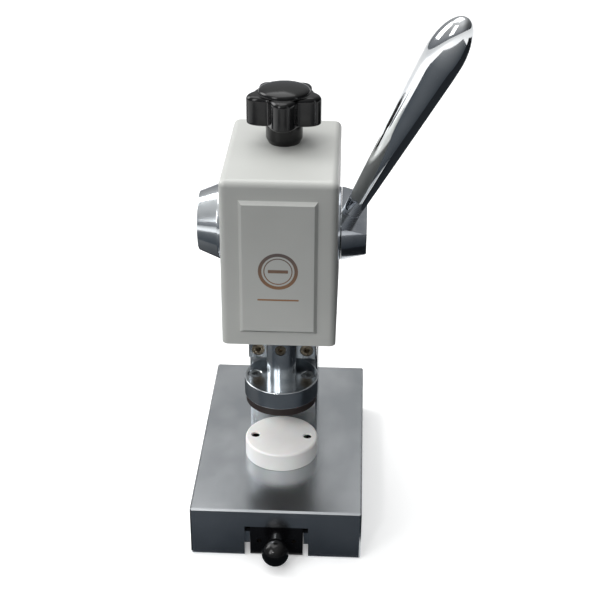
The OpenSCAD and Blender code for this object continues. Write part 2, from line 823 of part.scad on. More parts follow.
// Gap between two rack teeth, as a cutter across the ram
module rack_gap() {
    depth = 2.25 * gear_module;
    half = (tooth_pitch / 2 + backlash / 2) / 2;
    slope = tan(pressure_angle);
    rotate([90, 0, 90]) translate([0, 0, -ram_d]) linear_extrude(2 * ram_d) polygon([
        [cut, half + (gear_module + cut) * slope], [cut, -half - (gear_module + cut) * slope],
        [-depth, -half + 1.25 * gear_module * slope], [-depth, half - 1.25 * gear_module * slope]
    ]);
}

module ram() {
    color([0.74, 0.75, 0.77]) difference() {
        translate([0, ram_y, flange_z]) cylinder(d = ram_d, h = ram_top_z - flange_z);
        box([-ram_d, flat_y, flat_low_z], [ram_d, flat_y + ram_d, ram_top_z + cut]);
        box([-key_w / 2 - fit_clear, flat_y, key_z - fit_clear],
            [key_w / 2 + fit_clear, flat_y + ram_d, key_z + key_l + fit_clear]);
        for (k = [-2 : last_tooth + 1])
            translate([0, flat_y, pinion_z + k * tooth_pitch]) rack_gap();
        key_screw_places() cap_screw_hole(key_screw_d, ram_d, key_screw_d + 2);
        translate([0, ram_y + ram_d / 2 - 1, flange_z + flange_t / 2])
            rotate([-90, 0, 0]) cylinder(d = 5 + thread_play, h = 4);
    }
}

module key_screw_places() {
    for (rise = key_screw_rise)
        translate([0, ram_y - ram_d / 2 + key_screw_d + 0.5, key_z + rise]) rotate([90, 0, 0]) children();
}

module ram_key() {
    color([0.5, 0.51, 0.53]) difference() {
        box([-key_w / 2, flat_y, key_z], [key_w / 2, plate_y + key_grip, key_z + key_l]);
        key_screw_places() cylinder(d = key_screw_d + thread_play, h = 2 * ram_d, center = true);
    }
}

module ram_key_screws() {
    color([0.25, 0.24, 0.22]) key_screw_places()
        cap_screw(key_screw_d, ram_d - key_screw_d + 0.5);
}

module flange_screw_places() {
    for (x = [-flange_screw_x, flange_screw_x])
        translate([x, ram_y, flange_top_z - flange_screw_d - 0.3]) children();
}

module ram_flange() {
    color([0.7, 0.71, 0.73]) difference() {
        translate([0, ram_y, flange_z]) rotate_extrude() polygon([
            [0, 0], [flange_d / 2 - 0.4, 0], [flange_d / 2, 0.4], [flange_d / 2, flange_t - 0.8],
            [flange_d / 2 - 0.8, flange_t], [0, flange_t]
        ]);
        translate([0, ram_y, flange_z - cut]) cylinder(d = ram_d + 2 * fit_clear, h = flange_t + 2 * cut);
        flange_screw_places() cap_screw_hole(flange_screw_d, flange_t, 2 * flange_screw_d);
        translate([0, ram_y, flange_z + flange_t / 2]) rotate([-90, 0, 0])
            cylinder(d = 5 + thread_play, h = flange_d);
    }
}

module flange_screws() {
    color([0.75, 0.76, 0.78]) flange_screw_places() cap_screw(flange_screw_d, flange_t - 2);
}

module flange_set_screw() {
    reach = (flange_d - ram_d) / 2;
    color([0.25, 0.24, 0.22]) translate([0, ram_y + ram_d / 2 - 0.9, flange_z + flange_t / 2])
        rotate([-90, 0, 0]) difference() {
            cylinder(d = 5, h = reach - 2);
            translate([0, 0, reach - 5]) cylinder(d = 2.8, h = 4, $fn = 6);
        }
}

module press_pad() {
    color([0.16, 0.1, 0.09]) difference() {
        translate([0, ram_y, flange_z - pad_t]) rotate_extrude() polygon([
            [0, 0], [pad_d / 2 - 0.6, 0], [pad_d / 2, 0.6], [pad_d / 2, pad_t], [0, pad_t]
        ]);
        flange_screw_places() translate([0, 0, -flange_t - pad_t + 4])
            cylinder(d = flange_screw_d + thread_play, h = flange_t + 2 * pad_t);
    }
}

// ---------------------------------------------------------------- pinion and shaft

function involute_turn(r) = let (t = sqrt(r * r / (involute_r * involute_r) - 1)) t * 180 / PI - atan(t);
tooth_half = ((tooth_pitch - backlash) / 4) / pitch_r * 180 / PI;
function flank_angle(r) = tooth_half + involute_turn(pitch_r) - involute_turn(r);
flank_steps = 5;
function flank_r(i) = involute_r + (outer_r - involute_r) * i / flank_steps;
function polar(r, a) = [r * cos(a), r * sin(a)];

// One pinion tooth, centred on the first axis
module pinion_tooth() {
    polygon(concat(
        [polar(root_r - 1, -flank_angle(involute_r))],
        [for (i = [0 : flank_steps]) polar(flank_r(i), -flank_angle(flank_r(i)))],
        [for (i = [flank_steps : -1 : 0]) polar(flank_r(i), flank_angle(flank_r(i)))],
        [polar(root_r - 1, flank_angle(involute_r))]
    ));
}

// The toothed arc runs from the front over the top. The lug hangs below it.
module pinion_outline() {
    a0 = -(teeth_past + 0.5) * tooth_angle;
    a1 = (last_tooth + 0.5) * tooth_angle;
    circle(r = blank_r);
    intersection() {
        circle(r = root_r);
        polygon(concat([[0, 0]], [for (i = [0 : 8]) polar(2 * root_r, 180 - a0 - (a1 - a0) * i / 8)]));
    }
    for (k = [-teeth_past : last_tooth]) rotate([0, 0, 180 - k * tooth_angle]) pinion_tooth();
    rotate([0, 0, -lever_travel]) translate([0, -lug_back]) square([lug_r, lug_back + lug_face]);
}

module sector_pinion() {
    color([0.55, 0.56, 0.58]) difference() {
        translate([-gear_face / 2, pinion_y, pinion_z])
            rotate([90, 0, 90]) linear_extrude(gear_face) pinion_outline();
        on_shaft(-gear_face, gear_face, shaft_d + 2 * fit_clear);
        drive_key_slot(-gear_face, gear_face, pinion_key_angle);
    }
}

// Keys and keyways lie along the shaft. The angle is measured from the top
// towards the front.
module key_frame(x0, angle) {
    translate([x0, pinion_y, pinion_z]) rotate([angle, 0, 0]) children();
}

// Slot in a hub, from the shaft's axis out past the key
module drive_key_slot(x0, x1, angle) {
    key_frame(x0, angle) translate([0, -drive_key_w / 2 - fit_clear, 0])
        cube([x1 - x0, drive_key_w + 2 * fit_clear, shaft_d / 2 + drive_key_h - drive_key_sink + 0.1]);
}

module drive_key(x0, x1, angle) {
    key_frame(x0, angle) translate([0, -drive_key_w / 2, shaft_d / 2 - drive_key_sink + fit_clear])
        cube([x1 - x0, drive_key_w, drive_key_h - 2 * fit_clear]);
}

module shaft_key_way(x0, x1, angle) {
    key_frame(x0, angle) translate([0, -drive_key_w / 2 - fit_clear, shaft_d / 2 - drive_key_sink])
        cube([x1 - x0, drive_key_w + 2 * fit_clear, shaft_d]);
}

module pinion_shaft() {
    color([0.7, 0.71, 0.73]) difference() {
        on_shaft(shaft_left_x, shaft_right_x, shaft_d);
        shaft_key_way(-gear_face / 2 + 1, gear_face / 2 - 1, pinion_key_angle);
        shaft_key_way(hub_x + 1.5, shaft_right_x + cut, hub_key_angle);
        at_shaft_end(shaft_right_x, 1) translate([0, 0, -14]) cylinder(d = hub_screw_d + thread_play, h = 16);
    }
}

module pinion_key() {
    color([0.5, 0.51, 0.53]) drive_key(-gear_face / 2 + 1.1, gear_face / 2 - 1.1, pinion_key_angle);
}

module hub_key() {
    color([0.5, 0.51, 0.53]) drive_key(hub_x + 1.6, shaft_right_x - 0.1, hub_key_angle);
}

// ---------------------------------------------------------------- lever

module lever_hub() {
    color([0.8, 0.81, 0.83]) difference() {
        at_shaft_end(hub_x, 1) rotate_extrude() polygon([
            [0, 0], [hub_d / 2 - 0.4, 0], [hub_d / 2, 0.4],
            [hub_end_d / 2, hub_l - 0.8], [hub_end_d / 2 - 0.8, hub_l], [0, hub_l]
        ]);
        on_shaft(hub_x - cut, hub_end_x + cut, shaft_d + 2 * fit_clear);
        at_shaft_end(hub_washer_x, 1) cylinder(d = hub_washer_d + 0.6, h = 2 * hub_washer_t);
        drive_key_slot(hub_x - cut, hub_end_x + cut, hub_key_angle);
        // flat that the lever seats on, and the lever's tapped hole
        along_lever() {
            translate([-hub_d, -hub_d, lever_seat_r]) cube([2 * hub_d, 2 * hub_d, hub_d]);
            translate([0, 0, lever_stub_z - 0.5]) cylinder(d = lever_stub_d + thread_play, h = hub_d);
        }
    }
}

module hub_washer() {
    color([0.6, 0.61, 0.63]) at_shaft_end(hub_washer_x, 1) difference() {
        cylinder(d = hub_washer_d, h = hub_washer_t);
        translate([0, 0, hub_washer_t]) csk_screw_hole(hub_screw_d, hub_washer_t + cut);
    }
}

module hub_screw() {
    color([0.3, 0.3, 0.32]) at_shaft_end(hub_end_x - hub_washer_sink, 1) csk_screw(hub_screw_d, 14);
}

// Lever: a slim root that swells evenly into a round-nosed grip
module lever_handle() {
    grip_start = lever_l * 0.84;
    nose = lever_l - grip_start;
    nose_steps = 10;
    color([0.85, 0.86, 0.88]) along_lever() rotate_extrude() polygon(concat(
        [
            [0, lever_stub_z], [lever_stub_d / 2, lever_stub_z],
            [lever_stub_d / 2, lever_seat_r], [lever_root_d / 2, lever_seat_r],
            [lever_root_d / 2 + 0.2, lever_seat_r + 6]
        ],
        [for (i = [0 : nose_steps])
            [lever_grip_d / 2 * cos(90 * i / nose_steps), grip_start + nose * sin(90 * i / nose_steps)]]
    ));
}

// ---------------------------------------------------------------- stop screw and star knob

module stop_pad() {
    color([0.6, 0.45, 0.2]) translate([0, stop_y, stop_pad_z]) difference() {
        cylinder(d = stop_pad_d, h = stop_pad_h);
        translate([0, 0, stop_pad_h - stop_nose_h])
            cylinder(d = stop_nose_d + 2 * running_clear, h = stop_nose_h + cut);
    }
}

module stop_screw() {
    z0 = stop_pad_z + stop_pad_h + 0.1;
    color([0.75, 0.76, 0.78]) translate([0, stop_y, 0]) {
        translate([0, 0, z0]) cylinder(d = stop_d, h = stop_top_z - z0);
        translate([0, 0, z0 - stop_nose_h]) cylinder(d = stop_nose_d, h = stop_nose_h + 0.5);
    }
}

module knob_insert() {
    color([0.72, 0.52, 0.25]) translate([0, stop_y, star_z]) difference() {
        cylinder(d = insert_d, h = stop_top_z - star_z + 1);
        translate([0, 0, -cut]) cylinder(d = stop_d + 2 * fit_clear, h = stop_top_z - star_z + cut);
    }
}

// Lobe profile in plan: round lobes on a round core
module star_outline() {
    lobe_r = star_d * 0.16;
    circle(r = star_d * 0.34);
    for (i = [0 : star_lobes - 1]) rotate([0, 0, 360 * i / star_lobes - 90]) {
        translate([star_d / 2 - lobe_r, 0]) circle(r = lobe_r);
        translate([0, -lobe_r]) square([star_d / 2 - lobe_r, 2 * lobe_r]);
    }
}

module star_knob() {
    color([0.05, 0.05, 0.05]) translate([0, stop_y, 0]) difference() {
        union() {
            translate([0, 0, star_z]) rotate_extrude() polygon([
                [0, 0], [star_hub_d / 2 - 1.5, 0], [star_hub_d / 2, 1.5], [star_hub_d / 2, star_hub_h + 1],
                [0, star_hub_h + 1]
            ]);
            translate([0, 0, star_lobe_z]) linear_extrude(star_h) star_outline();
            translate([0, 0, star_lobe_z + star_h]) rotate_extrude() polygon([
                [0, -1], [star_d * 0.34, -1], [star_d * 0.34, 0], [star_d * 0.24, crown_h * 0.75],
                [star_d * 0.1, crown_h], [0, crown_h]
            ]);
        }
        translate([0, 0, star_z - cut])
            cylinder(d = insert_d + 2 * fit_clear, h = stop_top_z - star_z + 1.1 + cut);
    }
}

base_block();
column();
column_bolts();
column_dowels();
guide_plate();
guide_plate_screws();
head_casting();
head_bolts();
lower_ram_bush();
upper_ram_bush();
left_shaft_bush();
right_shaft_bush();
top_bridge();
bridge_screws();
stop_screw_bush();
head_cover();
rear_cover();
rear_cover_screws();
spring_cup();
spring_cup_screws();
spring_cup_cap();
return_spring();
hub_collar();
hub_collar_screws();
die_pad();
die_screws();
drawer_rails();
rail_screws();
drawer_stop_pin();
ram();
ram_key();
ram_key_screws();
ram_flange();
flange_screws();
flange_set_screw();
press_pad();
pinion_shaft();
sector_pinion();
pinion_key();
lever_hub();
hub_key();
hub_washer();
hub_screw();
lever_handle();
stop_pad();
stop_screw();
knob_insert();
star_knob();
drawer_tray();
drawer_front();
drawer_front_screws();
knob_stud();
ball_knob();
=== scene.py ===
# %% [markdown]
# # A bench tablet press, dressed for its picture
#
# The press is a small hand tool: a ground steel base with a drawer, a steel column, a painted
# head that hides a rack and pinion, a chromed lever and a black star knob. The mechanical model
# is already exact, so it is loaded as a fixed frame. What is left is what the eye judges: how
# edges are rounded, and how paint, chrome, turned steel and moulded resin take the light.

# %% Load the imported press
import json
import math

import bpy
import numpy as np
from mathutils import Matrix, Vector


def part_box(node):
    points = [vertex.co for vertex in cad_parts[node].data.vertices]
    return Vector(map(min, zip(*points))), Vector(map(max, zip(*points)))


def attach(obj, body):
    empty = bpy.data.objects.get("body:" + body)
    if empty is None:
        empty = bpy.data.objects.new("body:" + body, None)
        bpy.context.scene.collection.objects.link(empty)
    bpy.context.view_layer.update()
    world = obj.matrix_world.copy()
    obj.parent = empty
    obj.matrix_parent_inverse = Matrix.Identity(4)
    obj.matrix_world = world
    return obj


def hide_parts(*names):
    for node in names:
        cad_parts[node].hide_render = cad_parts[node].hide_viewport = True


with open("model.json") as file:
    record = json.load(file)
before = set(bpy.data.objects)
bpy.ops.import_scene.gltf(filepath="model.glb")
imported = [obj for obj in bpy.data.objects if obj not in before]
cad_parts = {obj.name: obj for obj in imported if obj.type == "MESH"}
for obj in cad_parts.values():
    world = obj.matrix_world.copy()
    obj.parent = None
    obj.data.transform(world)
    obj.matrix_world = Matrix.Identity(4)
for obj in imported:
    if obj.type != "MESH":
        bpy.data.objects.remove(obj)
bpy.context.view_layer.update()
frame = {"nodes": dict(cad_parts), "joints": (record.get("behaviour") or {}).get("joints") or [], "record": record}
MM = 0.001

# %% [markdown]
# ## Reading places from the frame
#
# Every new piece has to land on the part that it stands for. The frame gives each part's lowest
# and highest corner, so a centre, a radius or a height is read from there. Only sizes that a box
# can't tell, such as a wall or a bevel, are written down here, in millimetres.

# %% Measure parts
def corners_of(node):
    """A part's lowest and highest corner, as arrays in metres."""
    low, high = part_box(node)
    return np.array(low), np.array(high)


def joint_named(name):
    return next(joint for joint in frame["joints"] if joint["name"] == name)


SHAFT = np.array(joint_named("lever_turn")["pos_m"])
X, Y, Z = np.eye(3)
print("shaft axis at", SHAFT)

# %% [markdown]
# ## Colours and nodes
#
# Colours are picked as sRGB hex codes, the way a paint chart gives them, but light is reckoned
# in linear values. One function does the turning. One more adds a shader node with its settings
# and links in a single line, which keeps each finish short enough to read as a recipe.

# %% Colour and node helpers
def linear(hex_code):
    """sRGB hex to linear RGBA: small values are divided by 12.92, the rest follow a 2.4 power."""
    channels = np.array([int(hex_code[i:i + 2], 16) for i in (1, 3, 5)]) / 255
    curve = np.where(channels <= 0.04045, channels / 12.92, ((channels + 0.055) / 1.055) ** 2.4)
    return (*curve.tolist(), 1.0)


def add_node(tree, kind, settings=None, links=None, **options):
    """Adds one node: options set its menus, settings fill its sockets and links feed them."""
    node = tree.nodes.new("ShaderNode" + kind)
    for option, value in options.items():
        setattr(node, option, value)
    for socket, value in (settings or {}).items():
        node.inputs[socket].default_value = value
    for socket, source in (links or {}).items():
        tree.links.new(source, node.inputs[socket])
    return node


def start_finish(name, **settings):
    """A new material with one Principled shader. Returns the material, its tree, shader and place."""
    finish = bpy.data.materials.new(name)
    finish.use_nodes = True
    tree = finish.node_tree
    tree.nodes.clear()
    shader = add_node(tree, "BsdfPrincipled", settings)
    add_node(tree, "OutputMaterial", links={"Surface": shader.outputs[0]})
    place = add_node(tree, "TexCoord").outputs["Object"]
    return finish, tree, shader, place


def two_tone(tree, source, low, high, colours):
    """Colour that runs from the first to the second as the source goes from low to high."""
    ramp = add_node(tree, "ValToRGB", links={"Fac": source})
    for stop, position, colour in zip(ramp.color_ramp.elements, (low, high), colours):
        stop.position = position
        stop.color = linear(colour)
    return ramp.outputs["Color"]


def between(tree, source, low, high):
    """Brings a 0 to 1 pattern into the range from low to high."""
    return add_node(tree, "MapRange", {"To Min": low, "To Max": high}, {"Value": source}).outputs[0]


def grain(tree, place, size_mm, stretch=(1, 1, 1), detail=2.0):
    """Noise whose blotches are about size_mm across, drawn out along the axes with stretch above 1."""
    spread = tuple(1 / s for s in stretch)
    where = add_node(tree, "Mapping", {"Scale": spread}, {"Vector": place}).outputs[0]
    noise = add_node(tree, "TexNoise", {"Scale": 1 / (size_mm * MM), "Detail": detail}, {"Vector": where})
    return noise.outputs["Fac"]


def relief(tree, shader, pattern, depth_mm, strength=1.0):
    """Feeds a pattern to the shader's normal as relief of a real depth."""
    bump = add_node(
        tree, "Bump", {"Strength": strength, "Distance": depth_mm * MM}, {"Height": pattern}
    )
    tree.links.new(bump.outputs[0], shader.inputs["Normal"])


print("white paper is", linear("#FFFFFF")[0], "and middle grey", round(linear("#808080")[0], 3))

# %% [markdown]
# ## Finish: satin paint on the head
#
# The head's cover is a casting, filled, sprayed light grey and baked. Sprayed paint dries with a
# faint orange peel, about 1.5 mm from crest to crest, that softens every reflection. A clear
# image texture of real paint would do, but a noise pattern needs no seams and follows any shape.

# %% Satin paint
def satin_grey_paint():
    """Baked satin enamel: an even light grey, with orange peel that blurs what it reflects."""
    finish, tree, shader, place = start_finish(
        "satin_grey_baked_enamel", Roughness=0.36, IOR=1.5
    )
    drift = grain(tree, place, 45)
    tree.links.new(two_tone(tree, drift, 0.3, 0.7, ("#C9CAC6", "#CFD0CC")), shader.inputs["Base Color"])
    # real peel is near 1.5 mm across; 2.2 mm is drawn so that it still shows at this size
    relief(tree, shader, grain(tree, place, 2.2), 0.02, 0.5)
    return finish


def black_drawer_paint():
    """Black gloss lacquer on sheet steel: near black, sharper reflections than the grey paint."""
    finish, tree, shader, place = start_finish("black_lacquered_sheet_steel", IOR=1.5)
    drift = grain(tree, place, 12)
    tree.links.new(two_tone(tree, drift, 0.3, 0.7, ("#08080A", "#0E0E10")), shader.inputs["Base Color"])
    tree.links.new(between(tree, drift, 0.16, 0.3), shader.inputs["Roughness"])
    relief(tree, shader, grain(tree, place, 1.2), 0.01, 0.4)
    return finish


# %% [markdown]
# ## Finish: ground and turned steel
#
# The base and the column are surface ground: a wheel leaves fine parallel lines, and the oily
# steel shows soft clouds where it has been wiped. The ram, the flange and the cups are turned,
# so their lines run round the axis instead. Both are the same metal; only the direction of the
# lines differs. Lines round an axis come from noise that is read at (distance along the axis,
# distance from the axis), because those two stay the same all the way round a turned part.

# %% Ground steel
def ground_steel():
    """Surface-ground steel: blue-grey metal with straight lines along the block and wiped clouds."""
    finish, tree, shader, place = start_finish("surface_ground_tool_steel", Metallic=1.0)
    clouds = grain(tree, place, 38, (1, 1.6, 1), 3)
    # a 60 grit wheel leaves lines about 0.2 mm apart; 0.7 mm is drawn so that they show
    lines = grain(tree, place, 0.7, (1, 60, 1), 3)
    tree.links.new(two_tone(tree, clouds, 0.32, 0.68, ("#B0B4B8", "#C8CBCE")), shader.inputs["Base Color"])
    blend = add_node(
        tree, "Math", {2: 0.5}, {0: clouds, 1: lines}, operation="MULTIPLY_ADD"
    ).outputs[0]
    tree.links.new(between(tree, blend, 0.13, 0.27), shader.inputs["Roughness"])
    relief(tree, shader, lines, 0.003, 0.3)
    return finish


# %% Turned metals
def rings_round(tree, place, centre, axis, size_mm):
    """Noise that stays the same round an axis: it is read at (height along, distance from) it."""
    turn = {"X": (0, -math.pi / 2, 0), "Y": (math.pi / 2, 0, 0), "Z": (0, 0, 0)}[axis]
    moved = add_node(tree, "VectorMath", {1: tuple(centre)}, {0: place}, operation="SUBTRACT").outputs[0]
    turned_round = add_node(tree, "Mapping", {"Rotation": turn}, {"Vector": moved}).outputs[0]
    parts = add_node(tree, "SeparateXYZ", links={0: turned_round}).outputs
    flat = add_node(tree, "CombineXYZ", links={"X": parts["X"], "Y": parts["Y"]}).outputs[0]
    away = add_node(tree, "VectorMath", links={0: flat}, operation="LENGTH").outputs["Value"]
    where = add_node(tree, "CombineXYZ", links={"X": away, "Y": parts["Z"]}).outputs[0]
    noise = add_node(
        tree, "TexNoise", {"Scale": 1 / (size_mm * MM), "Detail": 3.0}, {"Vector": where},
        noise_dimensions="2D",
    )
    return noise.outputs["Fac"]


def turned_metal(name, colours, centre, axis, roughness, depth_mm=0.004):
    """Metal off the lathe: feed lines round the axis in its colour, gloss and relief."""
    finish, tree, shader, place = start_finish(name, Metallic=1.0)
    # the tool's feed is about 0.1 mm a turn; 0.5 mm is drawn so that the rings show
    rings = rings_round(tree, place, centre, axis, 0.5)
    wiped = grain(tree, place, 14)
    tree.links.new(two_tone(tree, wiped, 0.3, 0.7, colours), shader.inputs["Base Color"])
    tree.links.new(between(tree, rings, *roughness), shader.inputs["Roughness"])
    relief(tree, shader, rings, depth_mm, 0.5)
    return finish


# %% [markdown]
# ## Finish: chrome
#
# The lever and its hubs are polished steel under bright chrome. Chrome is a mirror, so what it
# shows is the studio, and the finish itself only adds hairline scratches and a trace of haze.

# %% Chrome
def polished_chrome():
    """Bright chrome plate on buffed steel: nearly a mirror, with hairlines along the buffing."""
    finish, tree, shader, place = start_finish("bright_chrome_on_buffed_steel", Metallic=1.0)
    haze = grain(tree, place, 22)
    # hairlines are finer than 0.1 mm; 0.4 mm is drawn so that they show
    hairlines = grain(tree, place, 0.4, (1, 1, 24), 3)
    tree.links.new(two_tone(tree, haze, 0.3, 0.7, ("#DADDE0", "#E9EBEC")), shader.inputs["Base Color"])
    tree.links.new(between(tree, haze, 0.03, 0.11), shader.inputs["Roughness"])
    relief(tree, shader, hairlines, 0.002, 0.25)
    return finish


# %% [markdown]
# ## Finish: resins and acetal
#
# Knobs are compression-moulded phenolic, black and glossy, with a soft flow in the skin. The
# press pad is paper-filled phenolic, brown-black and dull. The die pad is white acetal, turned
# and left satin; light goes a little way into it, which keeps its shaded side from going dark.

# %% Resins
def moulded_black_resin():
    """Moulded phenolic: black, a glossy skin, and a slight ripple from the mould."""
    finish, tree, shader, place = start_finish(
        "compression_moulded_black_phenolic", IOR=1.5, **{"Specular IOR Level": 0.4}
    )
    flow = grain(tree, place, 9, detail=3)
    tree.links.new(two_tone(tree, flow, 0.3, 0.7, ("#030304", "#070708")), shader.inputs["Base Color"])
    tree.links.new(between(tree, flow, 0.1, 0.24), shader.inputs["Roughness"])
    relief(tree, shader, grain(tree, place, 4), 0.03, 0.25)
    return finish


def brown_pad_resin():
    """Paper-filled phenolic: brown-black, dull, with the layers of paper showing on its edge."""
    finish, tree, shader, place = start_finish("paper_filled_brown_phenolic", IOR=1.6, Roughness=0.5)
    # real layers are 0.2 mm thick; 0.6 mm is drawn so that they show
    layers = grain(tree, place, 0.6, (40, 40, 1), 1)
    tree.links.new(two_tone(tree, layers, 0.3, 0.7, ("#1A1210", "#2E211D")), shader.inputs["Base Color"])
    relief(tree, shader, layers, 0.01, 0.4)
    return finish


def white_acetal(centre):
    """Turned acetal: clean white, satin, with faint tool rings and light that sinks in a little."""
    finish, tree, shader, place = start_finish(
        "turned_white_acetal",
        **{"IOR": 1.48, "Subsurface Weight": 0.15, "Subsurface Scale": 0.002},
    )
    rings = rings_round(tree, place, centre, "Z", 0.8)
    cloud = grain(tree, place, 16)
    tree.links.new(two_tone(tree, cloud, 0.3, 0.7, ("#F1F0ED", "#F6F5F3")), shader.inputs["Base Color"])
    tree.links.new(between(tree, rings, 0.28, 0.44), shader.inputs["Roughness"])
    relief(tree, shader, rings, 0.006, 0.4)
    return finish


# %% Inner metals and the printed mark
def plain_metal(name, colours, roughness, size_mm, metallic=1.0):
    """Metal that is only seen inside or as a fastener: mottled colour and uneven gloss."""
    finish, tree, shader, place = start_finish(name, Metallic=metallic)
    mottle = grain(tree, place, size_mm, detail=4)
    tree.links.new(two_tone(tree, mottle, 0.3, 0.7, colours), shader.inputs["Base Color"])
    tree.links.new(between(tree, mottle, *roughness), shader.inputs["Roughness"])
    relief(tree, shader, mottle, 0.01, 0.3)
    return finish


def bronze_print(low_z, high_z):
    """Metallic ink: grey-brown at the top, running to warm bronze at the bottom."""
    finish, tree, shader, place = start_finish(
        "screen_printed_bronze_ink", Metallic=0.35, Roughness=0.42
    )
    height = add_node(tree, "SeparateXYZ", links={0: place}).outputs["Z"]
    share = add_node(
        tree, "MapRange", {"From Min": low_z, "From Max": high_z}, {"Value": height}
    ).outputs[0]
    tree.links.new(two_tone(tree, share, 0.1, 0.95, ("#A9805F", "#6F6460")), shader.inputs["Base Color"])
    relief(tree, shader, grain(tree, place, 0.5), 0.004, 0.3)
    return finish


# %% [markdown]
# ## Dressing the parts whose shape is right
#
# Most CAD parts keep their exact shape and only change finish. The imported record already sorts
# them into twelve material slots, so one finish for each slot dresses them all. Turned parts
# need the place of their own axis, so the ram's metal and the shaft's metal are made twice.

# %% Give each slot its finish
RAM_LOW, RAM_HIGH = corners_of("ram")
RAM_AXIS = np.array([(RAM_LOW[0] + RAM_HIGH[0]) / 2, RAM_LOW[1] + (RAM_HIGH[0] - RAM_LOW[0]) / 2, 0])
BRIGHT = ("#B9BFC4", "#D3D7DA")
ram_steel = turned_metal("turned_ram_steel", BRIGHT, RAM_AXIS, "Z", (0.1, 0.26))
shaft_steel = turned_metal("turned_shaft_steel", BRIGHT, SHAFT, "X", (0.1, 0.26))
FINISH_OF_SLOT = {
    "ground_steel": ground_steel(),
    "bright_steel": ram_steel,
    "black_steel": plain_metal("black_oxide_screw_steel", ("#2A2622", "#4A433A"), (0.25, 0.5), 1.5),
    "spring_steel": plain_metal("blued_spring_steel", ("#27313F", "#46566B"), (0.2, 0.35), 3),
    "cast_iron": plain_metal("machined_grey_cast_iron", ("#565A5E", "#74787C"), (0.4, 0.6), 0.8),
    "bronze": plain_metal("turned_bearing_bronze", ("#9A6E32", "#B98A48"), (0.2, 0.4), 2),
    "grey_paint": satin_grey_paint(),
    "black_paint": black_drawer_paint(),
    "chrome": polished_chrome(),
    "white_acetal": white_acetal(RAM_AXIS),
    "dark_phenolic": brown_pad_resin(),
    "black_phenolic": moulded_black_resin(),
}
FINISH_OF_PART = {
    **dict.fromkeys(
        ("pinion_shaft", "sector_pinion", "pinion_key", "hub_key", "hub_washer"), shaft_steel
    ),
    **dict.fromkeys(
        ("guide_plate_screws", "ram_key_screws"),
        plain_metal("yellow_zinc_plated_screw_steel", ("#6A6154", "#938876"), (0.2, 0.38), 2),
    ),
    "flange_screws": plain_metal(
        "satin_nickel_plated_screw_steel", ("#85888A", "#B4B7B9"), (0.28, 0.42), 2
    ),
    # black oxide screws drawn far darker than the other black screws: the extra darkness is painted shade for the
    # deep holes they sit in
    "die_screws": plain_metal("black_oxide_steel_darkened_as_painted_hole_shade", ("#0B0A0A", "#16140F"), (0.5, 0.7), 1.5),
}
for subpart in frame["record"]["subparts"]:
    node = frame["nodes"][subpart["node"]]
    finish = FINISH_OF_PART.get(node.name, FINISH_OF_SLOT[subpart["material_slot"]])
    for slot in node.material_slots:
        slot.material = finish
print(len(FINISH_OF_SLOT), "finishes on", len(frame["nodes"]), "parts")

# %% [markdown]
# ## Surfaces from grids of points
#
# Every new piece is one grid of points: rows run from its bottom to its top, columns run round
# it. Faces join each point to its neighbours, the last column joins the first, and the two end
# rows are closed by a fan of triangles round one middle point. A piece with a bore has no ends:
# its last row joins its first. Sharp edges are split by angle, and the remaining normals are
# weighted by face area, so that a big flat face stays flat beside a small rounded edge.

# %% Grid to mesh
SHARP_ANGLE = math.radians(38)


def even_light(piece):
    """Marks sharp edges, smooths the rest and weights normals by area."""
    mesh = piece.data
    mesh.shade_smooth()
    mesh.set_sharp_from_angle(angle=SHARP_ANGLE)
    weighting = piece.modifiers.new("even_light", "WEIGHTED_NORMAL")
    weighting.weight = 100
    weighting.keep_sharp = True


def new_object(name, points, faces, finish=None):
    """Object from points and faces, linked to the scene."""
    mesh = bpy.data.meshes.new(name)
    mesh.from_pydata(points, [], faces)
    if finish:
        mesh.materials.append(finish)
    piece = bpy.data.objects.new(name, mesh)
    bpy.context.scene.collection.objects.link(piece)
    return piece


def surface(name, grid, ring=False, finish=None):
    """Object from a grid of points (rows, columns, 3). A ring joins its last row to its first."""
    rows, columns, _ = grid.shape
    index = np.arange(rows * columns).reshape(rows, columns)
    upper = np.roll(index, -1, axis=0) if ring else index[1:]
    lower = index if ring else index[:-1]
    quads = np.stack([lower, np.roll(lower, -1, 1), np.roll(upper, -1, 1), upper], -1).reshape(-1, 4)
    points, faces = grid.reshape(-1, 3), quads.tolist()
    if not ring:
        first, last = rows * columns, rows * columns + 1
        points = np.vstack([points, grid[0].mean(0), grid[-1].mean(0)])
        start, end = index[0], index[-1]
        faces += np.stack([np.roll(start, -1), start, np.full(columns, first)], -1).tolist()
        faces += np.stack([end, np.roll(end, -1), np.full(columns, last)], -1).tolist()
    return new_object(name, points.tolist(), faces, finish)


def place_on(piece, body, slot, *nodes):
    """Finishes a piece: it rides on a body and stands for CAD parts. Its slot argument is not used."""
    even_light(piece)
    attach(piece, body)
    if nodes:
        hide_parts(*nodes)
    print(piece.name, "faces:", len(piece.data.polygons), "stands for", nodes or "itself")


# %% [markdown]
# ## Rounding an outline, and turning it
#
# No machined edge is truly sharp, and the thin bright line along a worn edge is most of what
# makes metal look real. So every outline has its corners rounded before it is used: each corner
# is replaced by an arc that touches both straight runs. A lathe part is then that outline of
# (radius, height) carried round an axis.

